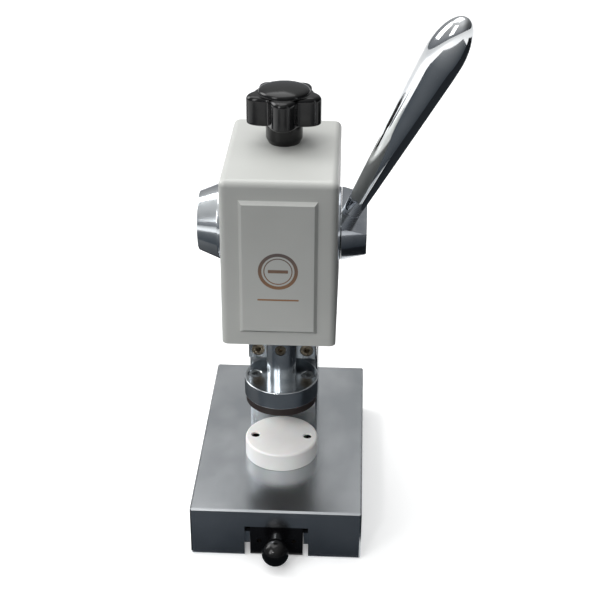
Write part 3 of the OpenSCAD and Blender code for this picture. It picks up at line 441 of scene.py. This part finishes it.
# %% Round corners and turn
def eased(corners, radius, steps=5):
    """Outline with rounded corners. The arc's centre lies on the corner's bisector, at radius
    over the sine of half the angle, and the arc is swept by spherical interpolation."""
    corners = np.array(corners, float)
    radii = np.broadcast_to(radius, len(corners))
    path = [corners[:1]]
    for before, corner, after, r in zip(corners, corners[1:], corners[2:], radii[1:]):
        into, out = ((p - corner) / np.linalg.norm(p - corner) for p in (before, after))
        half = math.acos(np.clip(into @ out, -1, 1)) / 2
        centre = corner + (into + out) / np.linalg.norm(into + out) * r / math.sin(half)
        start, end = (corner + u * r / math.tan(half) - centre for u in (into, out))
        turn, t = math.pi - 2 * half, np.linspace(0, 1, steps + 1)[:, None]
        path.append(centre + (np.sin((1 - t) * turn) * start + np.sin(t * turn) * end) / math.sin(turn))
    return np.vstack([*path, corners[-1:]])


def turned(name, outline, centre, axis=Z, around=128, ring=False, finish=None):
    """Surface of revolution: point = centre + height * axis + radius * (cos a * side + sin a * other)."""
    radius, height = np.array(outline, float).T[:, :, None, None]
    side = X if abs(axis @ X) < 0.9 else Y
    side = side - (side @ axis) * axis
    side = side / np.linalg.norm(side)
    angle = np.linspace(0, 2 * math.pi, around, endpoint=False)[None, :, None]
    spoke = np.cos(angle) * side + np.sin(angle) * np.cross(axis, side)
    return surface(name, centre + height * axis + radius * spoke, ring, finish)


def drilled(piece, *cutters):
    """Takes the cutters' volume out of a piece for good, and removes the cutters."""
    for cutter in cutters:
        cut = piece.modifiers.new("cut", "BOOLEAN")
        cut.object = cutter
        cut.solver = "EXACT"
        scene_graph = bpy.context.evaluated_depsgraph_get()
        left = bpy.data.meshes.new_from_object(piece.evaluated_get(scene_graph))
        piece.modifiers.clear()
        piece.data = left
        bpy.data.objects.remove(cutter)
    return piece


# %% [markdown]
# ## The die pad
#
# A white acetal disc, turned, with two counterbored holes for its screws. A disc with holes
# could be modelled by hand round each hole, but a turned disc that is then drilled is how the
# real one is made, and it keeps the rim perfectly round.

# %% Die pad
DIE_LOW, DIE_HIGH = corners_of("die_pad")
LOWER_EDGE, DIE_EDGE = 0.4 * MM, 1.6 * MM


def disc_outline(low, high, lower_edge, upper_edge):
    """Outline of a solid disc that fills a part's box, with its two rims rounded."""
    radius = (high[0] - low[0]) / 2
    corners = [(radius / 2, low[2]), (radius, low[2]), (radius, high[2]), (radius / 2, high[2])]
    return eased(corners, [0, lower_edge, upper_edge, 0])


die_outline = disc_outline(DIE_LOW, DIE_HIGH, LOWER_EDGE, DIE_EDGE)
die_pad = turned("acetal_die_pad", die_outline, RAM_AXIS, finish=FINISH_OF_SLOT["white_acetal"])
screw_low, screw_high = corners_of("die_screws")
DIE_SCREW_X = screw_high[0] - (screw_high[1] - screw_low[1]) / 2
DIE_HOLE_RADIUS = 2.9 * MM
DIE_HOLE_BELOW_SCREW = 3 * MM
BROKEN_EDGE = 0.4 * MM


def hole_at(x, y, low, high, radius):
    """A drill standing upright, to be taken out of a piece. Its cone breaks the edge at the face."""
    outline = [
        (radius / 2, low), (radius, low), (radius, high - BROKEN_EDGE),
        (radius + 2 * BROKEN_EDGE, high + BROKEN_EDGE), (radius / 2, high + BROKEN_EDGE),
    ]
    return turned("drill", outline, np.array([x, y, 0]), around=48)


drilled(die_pad, *(
    hole_at(x, RAM_AXIS[1], screw_high[2] - DIE_HOLE_BELOW_SCREW, DIE_HIGH[2], DIE_HOLE_RADIUS)
    for x in (-DIE_SCREW_X, DIE_SCREW_X)
))
place_on(die_pad, "frame", "white_acetal", "die_pad")

# %% [markdown]
# ## The flange and the press pad
#
# The flange is the bright disc on the ram's end, with two counterbored cap screws. Its rim
# carries a fine chamfer at the top. The dark pad below it is what touches the powder.

# %% Flange and pad
HAIR = 0.02 * MM  # keeps two touching faces from flickering
SCREW_HEAD_ROOM = 0.35 * MM
FLANGE_HOLE_BELOW_SCREW = 5 * MM
FLANGE_LOW, FLANGE_HIGH = corners_of("ram_flange")
flange_radius = (FLANGE_HIGH[0] - FLANGE_LOW[0]) / 2
bore_radius = (RAM_HIGH[0] - RAM_LOW[0]) / 2 + HAIR
flange_outline = eased(
    [
        (flange_radius * 0.8, FLANGE_LOW[2]), (flange_radius, FLANGE_LOW[2]),
        (flange_radius, FLANGE_HIGH[2]), (bore_radius, FLANGE_HIGH[2]),
        (bore_radius, FLANGE_LOW[2]),
    ],
    [0, 0.4 * MM, 0.7 * MM, 0.05 * MM, 0],
)
flange = turned("turned_ram_flange", flange_outline, RAM_AXIS, ring=True, finish=ram_steel)
head_low, head_high = corners_of("flange_screws")
HEAD_RADIUS = (head_high[1] - head_low[1]) / 2
FLANGE_SCREW_X = head_high[0] - HEAD_RADIUS
flange_hole_low = head_high[2] - FLANGE_HOLE_BELOW_SCREW
flange_hole_radius = HEAD_RADIUS + SCREW_HEAD_ROOM
drilled(flange, *(
    hole_at(x, RAM_AXIS[1], flange_hole_low, FLANGE_HIGH[2], flange_hole_radius)
    for x in (-FLANGE_SCREW_X, FLANGE_SCREW_X)
))
place_on(flange, "ram_unit", "bright_steel", "ram_flange")

PAD_LOWER_EDGE, PAD_UPPER_EDGE = 0.8 * MM, 0.3 * MM
pad_outline = disc_outline(*corners_of("press_pad"), PAD_LOWER_EDGE, PAD_UPPER_EDGE)
pad = turned("brown_press_pad", pad_outline, RAM_AXIS, finish=FINISH_OF_SLOT["dark_phenolic"])
place_on(pad, "ram_unit", "dark_phenolic", "press_pad")

# %% [markdown]
# ## The spring cup, the collar and the lever hub
#
# Three turned pieces sit on the shaft's line. The cup on the left holds the return spring and
# tapers outwards; the collar on the right is fixed to the head; the hub turns with the lever.
# Each has its own ring pattern, because the lathe's lines have to run round the shaft.

# %% Spring cup
cup_metal = turned_metal(
    "turned_and_buffed_cup_steel", ("#CBD0D4", "#E2E5E7"), SHAFT, "X", (0.07, 0.2), 0.006
)
CUP_LOW, CUP_HIGH = corners_of("spring_cup")
cup_radius = (CUP_HIGH[1] - CUP_LOW[1]) / 2
cup_length = CUP_HIGH[0] - CUP_LOW[0]
cap_low, cap_high = corners_of("spring_cup_cap")
cup_bore = (cap_high[1] - cap_low[1]) / 2
CUP_WALL = 2.5 * MM
CUP_STRAIGHT = 7.5 * MM
cup_outline = eased(
    [
        (cup_bore, HAIR), (cup_radius, HAIR), (cup_radius, CUP_STRAIGHT),
        (cup_bore + CUP_WALL, cup_length), (cup_bore, cup_length), (cup_bore, HAIR),
    ],
    [0, 0.4 * MM, 2.0 * MM, 0.7 * MM, 0.3 * MM, 0],
)[:-1]
CUP_FACE = np.array([CUP_HIGH[0], SHAFT[1], SHAFT[2]])
cup = turned("tapered_spring_cup", cup_outline, CUP_FACE, -X, 160, True, cup_metal)
place_on(cup, "frame", "chrome", "spring_cup")
for slot in frame["nodes"]["spring_cup_cap"].material_slots:
    slot.material = cup_metal

# %% Collar and lever hub
hub_metal = turned_metal(
    "turned_and_buffed_hub_steel", ("#979BA2", "#B2B6BB"), SHAFT, "X", (0.06, 0.16)
)
COLLAR_ROOM, WASHER_ROOM = 0.5 * MM, 0.3 * MM
COLLAR_LOW, COLLAR_HIGH = corners_of("hub_collar")
collar_radius = (COLLAR_HIGH[1] - COLLAR_LOW[1]) / 2
collar_length = COLLAR_HIGH[0] - COLLAR_LOW[0]
shaft_low, shaft_high = corners_of("pinion_shaft")
shaft_radius = (shaft_high[1] - shaft_low[1]) / 2
collar_bore = shaft_radius + COLLAR_ROOM
collar_outline = eased(
    [
        (collar_bore, 0), (collar_radius, 0), (collar_radius, collar_length),
        (collar_bore, collar_length), (collar_bore, 0),
    ],
    [0, 0.4 * MM, 0.7 * MM, 0.3 * MM, 0],
)[:-1]
COLLAR_FACE = np.array([COLLAR_LOW[0], SHAFT[1], SHAFT[2]])
collar = turned("fixed_hub_collar", collar_outline, COLLAR_FACE, X, 160, True, hub_metal)
place_on(collar, "frame", "chrome", "hub_collar")

HUB_LOW, HUB_HIGH = corners_of("lever_hub")
hub_length = HUB_HIGH[0] - HUB_LOW[0]
HUB_END_RADIUS = 20 * MM
hub_bore = shaft_radius + HAIR
washer_low, washer_high = corners_of("hub_washer")
recess_radius = (washer_high[1] - washer_low[1]) / 2 + WASHER_ROOM
recess_depth = HUB_HIGH[0] - washer_low[0]
hub_outline = eased(
    [
        (hub_bore, 0), (collar_radius, 0), (HUB_END_RADIUS, hub_length),
        (recess_radius, hub_length), (recess_radius, hub_length - recess_depth),
        (hub_bore, hub_length - recess_depth), (hub_bore, 0),
    ],
    [0, 0.4 * MM, 0.8 * MM, 0.3 * MM, 0.1 * MM, 0.1 * MM, 0],
)[:-1]
HUB_FACE = np.array([HUB_LOW[0], SHAFT[1], SHAFT[2]])
hub = turned("tapered_lever_hub", hub_outline, HUB_FACE, X, 160, True, hub_metal)
print("collar and hub radius", round(collar_radius / MM, 2), "mm")

# %% [markdown]
# ## The lever
#
# A forged handle, slim where it screws into the hub and swelling to a rounded grip, leans out to
# the right and forward. It is a turned shape about its own leaning axis: straight lines up to
# the grip, then a quarter of an ellipse to close the nose.

# %% Lever
LEVER_LEAN = math.radians(20.3)
LEVER_TILT = math.radians(25)
LEVER_LENGTH = 185.4 * MM
LEVER_ROOT = 6 * MM
LEVER_GRIP = 11.96 * MM
LEVER_SEAT = 14 * MM
LEVER_STUB = 4 * MM
LEVER_STUB_LENGTH = 3.8 * MM
LEVER_ALONG_HUB = 6.9 * MM
NOSE_START = 0.84 * LEVER_LENGTH
lever_way = np.array([
    math.sin(LEVER_LEAN),
    -math.cos(LEVER_LEAN) * math.sin(LEVER_TILT),
    math.cos(LEVER_LEAN) * math.cos(LEVER_TILT),
])
LEVER_FOOT = SHAFT + np.array([COLLAR_LOW[0] + LEVER_ALONG_HUB, 0, 0])


def lever_outline():
    """Radius against distance along the lever: a stub, a small shoulder, a line that widens
    evenly, and an elliptical nose (radius * cos t, start + length * sin t)."""
    t = np.linspace(0, math.pi / 2, 33)[:-1]
    nose_length = LEVER_LENGTH - NOSE_START
    nose = np.stack([LEVER_GRIP * np.cos(t), NOSE_START + nose_length * np.sin(t)], 1)
    straight = [
        (LEVER_STUB, LEVER_SEAT - LEVER_STUB_LENGTH), (LEVER_STUB, LEVER_SEAT),
        (LEVER_ROOT, LEVER_SEAT), (LEVER_ROOT + 0.2 * MM, LEVER_SEAT + 6 * MM),
        (LEVER_GRIP * 0.99, NOSE_START - 8 * MM), tuple(nose[0]),
    ]
    root = eased(straight[:-1], [0, 0.1 * MM, 0.5 * MM, 4 * MM, 0])
    return np.vstack([root, nose])


lever = turned(
    "forged_lever", lever_outline(), LEVER_FOOT, lever_way, finish=FINISH_OF_SLOT["chrome"]
)
place_on(lever, "lever_unit", "chrome", "lever_handle")

# %% Flat on the hub for the lever
MILL_INNER, MILL_OUTER, MILL_HEIGHT = 5 * MM, 60 * MM, 40 * MM
TAP_RADIUS, TAP_DEPTH = 4.05 * MM, 4 * MM
lever_seat = LEVER_FOOT + LEVER_SEAT * lever_way
flat_outline = [(MILL_INNER, 0), (MILL_OUTER, 0), (MILL_OUTER, MILL_HEIGHT), (MILL_INNER, MILL_HEIGHT)]
flat_cutter = turned("flat_mill", flat_outline, lever_seat, lever_way, 64)
thread_outline = [(MM, -TAP_DEPTH), (TAP_RADIUS, -TAP_DEPTH), (TAP_RADIUS, MM), (MM, MM)]
thread_cutter = turned("tap_drill", thread_outline, lever_seat, lever_way, 48)
drilled(hub, flat_cutter, thread_cutter)
place_on(hub, "lever_unit", "chrome", "lever_hub")

# %% [markdown]
# ## The star knob
#
# A moulded knob has lobes for the fingers and a smooth crown for the palm. Its plan is a circle
# whose radius rises and falls with the cosine of five times the angle. Each row of the grid
# blends between that wavy plan and a plain circle: round at the hub, wavy on the lobes, round
# again on the crown. One formula gives the whole knob, with no joins to hide.

# %% Star knob
KNOB_LOW, KNOB_HIGH = corners_of("star_knob")
screw_box = corners_of("stop_screw")
KNOB_AXIS = np.array([0, (screw_box[0][1] + screw_box[1][1]) / 2, 0])
KNOB_LOBES = 5
KNOB_VALLEY = 17 * MM
KNOB_REACH = 25 * MM
KNOB_HUB = 12 * MM
HUB_HEIGHT = 15.5 * MM
LOBE_HEIGHT = 19 * MM
INSERT_BORE = 6.02 * MM
INSERT_DEPTH = 15 * MM
LOBE_EDGE = 3.2 * MM
CROWN_RADIUS = 16.8 * MM
CROWN_STEP = 0.3 * MM


def lobed_plan(angle):
    """Plan radius: valley + (reach - valley) * ((1 + cos(lobes * angle)) / 2) ^ 0.85."""
    wave = (1 + np.cos(KNOB_LOBES * (angle + math.pi / 2))) / 2
    return KNOB_VALLEY + (KNOB_REACH - KNOB_VALLEY) * wave ** 0.85


def knob_rows():
    """Rows as (circle radius, inset from the lobes, share of lobes, height). Lobe edges are
    quarter circles, and the crown is radius * cos a against height * (sin a) ^ 0.8."""
    low, shoulder = KNOB_LOW[2], KNOB_LOW[2] + HUB_HEIGHT
    rim = shoulder + LOBE_HEIGHT
    crown_low, lower_edge = rim + CROWN_STEP, LOBE_EDGE * 0.5
    quarter = np.linspace(0, math.pi / 2, 9)
    under = [
        (0, lower_edge * (1 - math.sin(a)), 1, shoulder + lower_edge * (1 - math.cos(a)))
        for a in quarter
    ]
    over = [
        (0, LOBE_EDGE * (1 - math.cos(a)), 1, rim - LOBE_EDGE * (1 - math.sin(a)))
        for a in quarter
    ]
    crown = [
        (CROWN_RADIUS * math.cos(a), 0, 0, crown_low + (KNOB_HIGH[2] - crown_low) * math.sin(a) ** 0.8)
        for a in np.linspace(0, math.pi / 2, 13)[:-1]
    ]
    return [
        (INSERT_BORE * 0.5, 0, 0, low + INSERT_DEPTH),
        (INSERT_BORE, 0, 0, low + INSERT_DEPTH),
        (INSERT_BORE, 0, 0, low),
        (KNOB_HUB - 2.6 * MM, 0, 0, low),
        (KNOB_HUB - 2.0 * MM, 0, 0, low + 0.4 * MM),
        (KNOB_HUB - 0.2 * MM, 0, 0, low + 4 * MM),
        (KNOB_HUB, 0, 0, low + 4.8 * MM),
        (KNOB_HUB, 0, 0, shoulder - 2.5 * MM),
        (KNOB_HUB + 0.5 * MM, 0, 0, shoulder - 1.0 * MM),
        (KNOB_HUB + 2 * MM, 0, 0.05, shoulder),
        *under, *over, (CROWN_RADIUS + 1.2 * MM, 0, 0.25, rim + 0.1 * MM), *crown,
    ]


circle, inset, share, height = np.array(knob_rows()).T[:, :, None]
angle = np.linspace(0, 2 * math.pi, 240, endpoint=False)[None, :]
plan = share * (lobed_plan(angle) - inset) + (1 - share) * circle
level = np.broadcast_to(height, plan.shape)
knob_grid = KNOB_AXIS + np.stack([plan * np.cos(angle), plan * np.sin(angle), level], -1)
star_knob = surface("five_lobed_star_knob", knob_grid, finish=FINISH_OF_SLOT["black_phenolic"])
place_on(star_knob, "stop_knob", "black_phenolic", "star_knob")

# %% [markdown]
# ## The drawer's ball knob
#
# A ball with a small flat where it meets its stud. It is turned like the rest: an arc of radius
# against height, from the flat round to the front.

# %% Ball knob
BALL_LOW, BALL_HIGH = corners_of("ball_knob")
ball_radius = (BALL_HIGH[0] - BALL_LOW[0]) / 2
ball_centre = (BALL_LOW + BALL_HIGH) / 2
ball_centre[1] = BALL_LOW[1] + ball_radius
flat_angle = math.asin((BALL_HIGH[1] - ball_centre[1]) / ball_radius)
sweep = np.linspace(-flat_angle, math.pi / 2, 49)[:-1]
ball_outline = np.stack([ball_radius * np.cos(sweep), ball_radius * np.sin(sweep)], 1)
ball = turned(
    "ball_drawer_knob", ball_outline, ball_centre, -Y, 96, finish=FINISH_OF_SLOT["black_phenolic"]
)
place_on(ball, "drawer", "black_phenolic", "ball_knob")

# %% [markdown]
# ## The head's cover
#
# The cover is a casting open at the bottom and at the back. Its section is an arch: up the left
# wall, over the top and down the right, with rounded shoulders. That arch is carried from the
# back to the front; there it shrinks round a soft edge, and then towards the middle of the
# bottom edge, which closes the front wall. The sheet gets its wall thickness inwards by a
# Solidify modifier, applied before the holes are drilled.

# %% Cover shell
COVER_LOW, COVER_HIGH = corners_of("head_cover")
WALL = 3 * MM
SHOULDER = 1.4 * MM
PANEL_RISE = 5.5 * MM
COVER_FRONT = COVER_LOW[1] + PANEL_RISE
half_width = COVER_HIGH[0]
cover_base = COVER_LOW[2]


def arch(inset, count=14):
    """Arch path for one inset: left wall, shoulder arc, top, shoulder arc, right wall."""
    radius = max(SHOULDER - inset, 0.02 * MM)
    left, top = -half_width + inset, COVER_HIGH[2] - inset
    t = np.linspace(0, math.pi / 2, count)
    wall = np.linspace(cover_base, top - radius, count)[:-1]
    left_half = np.vstack([
        np.stack([np.full(count - 1, left), wall], 1),
        np.stack([left + radius * (1 - np.cos(t)), top - radius * (1 - np.sin(t))], 1),
    ])
    return np.vstack([left_half, left_half[::-1] * (-1, 1)])


def cover_grid():
    """Arch rows: straight from the back, round the front edge, then shrinking to a point."""
    t = np.linspace(0, math.pi / 2, 9)
    insets = np.concatenate([[0, 0, 0], SHOULDER * (1 - np.cos(t))])
    depths = np.concatenate([
        [COVER_HIGH[1], COVER_HIGH[1] - 2 * MM, COVER_FRONT + 2 * SHOULDER],
        COVER_FRONT + SHOULDER * (1 - np.sin(t)),
    ])
    rows = [np.insert(arch(i), 1, d, axis=1) for i, d in zip(insets, depths)]
    pole = np.array([0, COVER_FRONT, cover_base])
    shrink = [pole + (rows[-1] - pole) * s for s in (0.97, 0.75, 0.5, 0.25, 0.002)]
    return np.array(rows + shrink)


def open_surface(name, grid, finish):
    """Sheet from a grid whose columns don't join: each point is joined to its neighbours only."""
    rows, columns, _ = grid.shape
    index = np.arange(rows * columns).reshape(rows, columns)
    quads = np.stack([index[:-1, :-1], index[:-1, 1:], index[1:, 1:], index[1:, :-1]], -1)
    return new_object(name, grid.reshape(-1, 3).tolist(), quads.reshape(-1, 4).tolist(), finish)


cover = open_surface("painted_head_cover", cover_grid(), FINISH_OF_SLOT["grey_paint"])
thickness = cover.modifiers.new("wall", "SOLIDIFY")
thickness.thickness = WALL
thickness.offset = -1
thickness.use_even_offset = True
SHAFT_HOLE_RADIUS, SCREW_HOLE_RADIUS = 8.5 * MM, 5.1 * MM
DRILL_CORE, DRILL_REACH = 4 * MM, 60 * MM
shaft_outline = [
    (DRILL_CORE, -DRILL_REACH), (SHAFT_HOLE_RADIUS, -DRILL_REACH),
    (SHAFT_HOLE_RADIUS, DRILL_REACH), (DRILL_CORE, DRILL_REACH),
]
shaft_hole = turned("shaft_drill", shaft_outline, SHAFT, X, 64)
screw_hole = hole_at(0, KNOB_AXIS[1], COVER_HIGH[2] - 2 * WALL, COVER_HIGH[2], SCREW_HOLE_RADIUS)
drilled(cover, shaft_hole, screw_hole)
place_on(cover, "frame", "grey_paint", "head_cover")

# %% [markdown]
# ## The raised panel and its mark
#
# The front carries a raised panel with a wide bevel, which catches the light on two sides and
# shades on the other two. It is a stack of rectangles: each row is inset a little more and
# stands a little further out. On it sits a plain mark of this lesson's own, a scored tablet
# drawn as a ring and a bar over a short rule.

# %% Panel
PLATE_CORNER = 0.3 * MM


def plate(name, size, centre, outline, finish):
    """Stack of rounded rectangles. Each outline row is (inset, height) and stands off forwards."""
    t = np.linspace(0, math.pi / 2, 5)
    inset, height = np.array(outline, float).T[:, :, None]
    half = np.array(size) / 2
    radius = np.maximum(PLATE_CORNER - inset, 0.03 * MM)
    turns = [(1, 1, t), (-1, 1, t[::-1]), (-1, -1, t), (1, -1, t[::-1])]
    across = np.hstack([sx * (half[0] - inset - radius * (1 - np.cos(a))) for sx, _, a in turns])
    along = np.hstack([sy * (half[1] - inset - radius * (1 - np.sin(a))) for _, sy, a in turns])
    grid = across[..., None] * X + along[..., None] * Z - height[..., None] * Y
    return surface(name, centre + grid, finish=finish)


PANEL_WIDTH, PANEL_HEIGHT = 54 * MM, 96 * MM
PANEL_BEVEL = 4.5 * MM
PANEL_CENTRE = np.array([0, COVER_FRONT, (cover_base + COVER_HIGH[2]) / 2])
panel_outline = eased(
    [(0.2 * MM, -0.8 * MM), (0, 0), (PANEL_BEVEL, PANEL_RISE), (8 * MM, PANEL_RISE)], 0.45 * MM
)
panel = plate(
    "raised_front_panel", (PANEL_WIDTH, PANEL_HEIGHT), PANEL_CENTRE, panel_outline,
    FINISH_OF_SLOT["grey_paint"],
)
place_on(panel, "frame", "grey_paint")

# %% Mark
MARK_CENTRE = np.array([0, COVER_LOW[1], PANEL_CENTRE[2] - 1 * MM])
MARK_RADIUS = 12.5 * MM
INK = 0.06 * MM
ink = bronze_print(MARK_CENTRE[2] - 20 * MM, MARK_CENTRE[2] + MARK_RADIUS)


def ink_ring(name, outer, inner):
    """Flat ring of ink, INK thick, sunk a hair into the paint."""
    outline = [(inner, -INK), (outer, -INK), (outer, INK), (inner, INK)]
    return turned(name, outline, MARK_CENTRE, -Y, 96, True, ink)


def ink_bar(name, size, centre):
    outline = [(0, -INK), (0, INK)]
    return plate(name, size, centre, outline, ink)


mark_pieces = [
    ink_ring("mark_tablet_rim", MARK_RADIUS, MARK_RADIUS - 2.2 * MM),
    ink_ring("mark_tablet_line", MARK_RADIUS - 3.4 * MM, MARK_RADIUS - 4.1 * MM),
    ink_bar("mark_score", (12.6 * MM, 2.2 * MM), MARK_CENTRE),
    ink_bar("mark_rule", (26 * MM, 1.1 * MM), MARK_CENTRE - 20 * MM * Z),
]
for piece in mark_pieces:
    place_on(piece, "frame", "bronze")

# %% [markdown]
# ## Floor and light
#
# The press stands on a plain pale floor, whose light doesn't bounce onto the paint. Polished
# metal is only as good as what it mirrors, and much of it faces the floor. So four flat cards
# lie there that show only in reflections: mid-grey in front, light far out on the left, dark to
# the right and behind. They give the front of the base its deep blue-grey and the chrome its
# dark underside and stripe. Above them the studio is a dome, bright overhead, dark low down and
# dimmer towards the right. Three softboxes shape the head, and a small spot picks out the die.

# %% Floor
floor_finish, floor_tree, floor_shader, floor_place = start_finish(
    "pale_paper_sweep",
    **{
        "Roughness": 0.9, "Specular IOR Level": 0.1,
        "Emission Color": linear("#FFFFFF"), "Emission Strength": 0.3,
    },
)
paper = grain(floor_tree, floor_place, 90)
floor_tree.links.new(
    two_tone(floor_tree, paper, 0.2, 0.8, ("#FAFAFA", "#FDFDFD")), floor_shader.inputs["Base Color"]
)
FLOOR_REACH = 6.0
CARD_HEIGHT = 0.5 * MM


def flat_sheet(name, low, high, height, finish):
    """One level rectangle between two corners."""
    (x0, y0), (x1, y1) = low, high
    corners = [(x0, y0, height), (x1, y0, height), (x1, y1, height), (x0, y1, height)]
    return new_object(name, corners, [(0, 1, 2, 3)], finish)


floor = flat_sheet(
    "floor", (-FLOOR_REACH, -FLOOR_REACH), (FLOOR_REACH, FLOOR_REACH), 0, floor_finish
)
floor.visible_diffuse = False


def card(name, low, high, near, far, along):
    """Flat card that only shows in reflections: its colour runs from near to far along one axis."""
    finish, tree, shader, place = start_finish(
        "matt_card_" + name, Roughness=0.9, **{"Specular IOR Level": 0.0}
    )
    where = add_node(tree, "SeparateXYZ", links={0: place}).outputs[along]
    start, end = (low, high) if along == "X" else (high, low)
    axis = "XY".index(along)
    share = add_node(
        tree, "MapRange", {"From Min": start[axis], "From Max": end[axis]}, {"Value": where}
    ).outputs[0]
    tree.links.new(two_tone(tree, share, 0.0, 1.0, (near, far)), shader.inputs["Base Color"])
    sheet = flat_sheet(name, low, high, CARD_HEIGHT, finish)
    sheet.visible_camera = sheet.visible_diffuse = sheet.visible_shadow = False


base_front = corners_of("base_block")[0][1]
card("front_card", (-0.6, -0.7), (0.6, base_front - MM), "#42474D", "#8E9092", "Y")
card("right_card", (0.075, base_front - MM), (0.9, 0.5), "#2A2D31", "#15171A", "X")
card("back_card", (-0.9, 0.22), (0.5, 0.42), "#24272B", "#3C3F44", "Y")
card("left_card", (-0.5, base_front - MM), (-0.058, 0.3), "#A0A2A4", "#24282D", "X")

# %% Studio dome
DOME = [  # height of the light, from straight down to straight up, and its colour
    (0.0, "#0C0D10"), (0.22, "#15181D"), (0.36, "#3A3F45"), (0.47, "#6A6E72"),
    (0.56, "#94969A"), (0.72, "#AEAFAF"), (0.84, "#D2D3D3"), (1.0, "#E6E7E7"),
]
world = bpy.data.worlds.new("studio")
bpy.context.scene.world = world
world.use_nodes = True
sky = world.node_tree
sky.nodes.clear()
toward = add_node(sky, "TexCoord").outputs["Generated"]
parts = add_node(sky, "SeparateXYZ", links={0: toward}).outputs
level = add_node(sky, "MapRange", {"From Min": -1.0, "From Max": 1.0}, {"Value": parts["Z"]}).outputs[0]
ramp = add_node(sky, "ValToRGB", links={"Fac": level})
stops = ramp.color_ramp.elements
stops[0].color, stops[-1].color = linear(DOME[0][1]), linear(DOME[-1][1])
for position, colour in DOME[1:-1]:
    stops.new(position).color = linear(colour)
left_bias = add_node(
    sky, "MapRange", {"From Min": 0.15, "From Max": 0.9, "To Min": 1.0, "To Max": 0.3},
    {"Value": parts["X"]},
).outputs[0]
dome = add_node(sky, "Background", links={"Color": ramp.outputs["Color"], "Strength": left_bias})
paper_white = add_node(sky, "Background", {"Color": linear("#FFFFFF"), "Strength": 1.0})
seen = add_node(sky, "LightPath").outputs["Is Camera Ray"]
both = add_node(sky, "MixShader", links={0: seen, 1: dome.outputs[0], 2: paper_white.outputs[0]})
add_node(sky, "OutputWorld", links={"Surface": both.outputs[0]})


# %% Lamps
def lamp(name, kind, where, aim, watts, **settings):
    """Light at a place, turned to face its aim."""
    data = bpy.data.lights.new(name, kind)
    data.energy = watts
    for setting, value in settings.items():
        setattr(data, setting, value)
    stand = bpy.data.objects.new(name, data)
    stand.location = where
    way = Vector(aim) - Vector(where)
    stand.rotation_mode = "QUATERNION"
    stand.rotation_quaternion = way.to_track_quat("-Z", "Y")
    bpy.context.scene.collection.objects.link(stand)


PRESS_MIDDLE = (0, 0, 0.13)
DIE_FRONT = (0, -0.023, 0.045)
SOFTBOXES = [  # name, place, width and height, watts
    ("overhead", (-0.25, 0.35, 1.5), (1.3, 1.3), 9.5),
    ("left_back", (-1.2, 0.5, 0.9), (0.8, 0.8), 9),
    ("front_left", (-1.0, -1.1, 1.0), (0.6, 1.0), 7.0),
]
for name, where, (width, tall), watts in SOFTBOXES:
    lamp(name, "AREA", where, PRESS_MIDDLE, watts, shape="RECTANGLE", size=width, size_y=tall)
lamp(
    "die_spot", "SPOT", (-0.3, -0.85, 0.72), DIE_FRONT, 38,
    spot_size=math.radians(7.5), spot_blend=1.0, shadow_soft_size=0.1,
)

# %% [markdown]
# ## Camera
#
# The camera stands above the press and a little to its right, looking down at 28 degrees with a
# 78 mm lens. Its direction is built from yaw and pitch, and a small roll turns the picture level.

# %% Camera
LENS_MM, SENSOR_MM = 78.01, 36
CAMERA_PLACE = (0.0460, -0.7762, 0.5581)
CAMERA_YAW, CAMERA_PITCH, CAMERA_ROLL = np.radians([-2.56, 28.03, 0.28])
forward = np.array([
    math.sin(CAMERA_YAW) * math.cos(CAMERA_PITCH),
    math.cos(CAMERA_YAW) * math.cos(CAMERA_PITCH),
    -math.sin(CAMERA_PITCH),
])
level_right = np.array([math.cos(CAMERA_YAW), -math.sin(CAMERA_YAW), 0])
level_up = np.cross(level_right, forward)
right = math.cos(CAMERA_ROLL) * level_right + math.sin(CAMERA_ROLL) * level_up
up = -math.sin(CAMERA_ROLL) * level_right + math.cos(CAMERA_ROLL) * level_up
camera_data = bpy.data.cameras.new("camera")
camera_data.lens, camera_data.sensor_width = LENS_MM, SENSOR_MM
camera = bpy.data.objects.new("camera", camera_data)
camera.matrix_world = Matrix([
    [*row, place] for row, place in zip(np.stack([right, up, -forward], 1), CAMERA_PLACE)
] + [[0, 0, 0, 1]])
bpy.context.scene.collection.objects.link(camera)
bpy.context.scene.camera = camera
bpy.context.scene.view_settings.view_transform = "Standard"
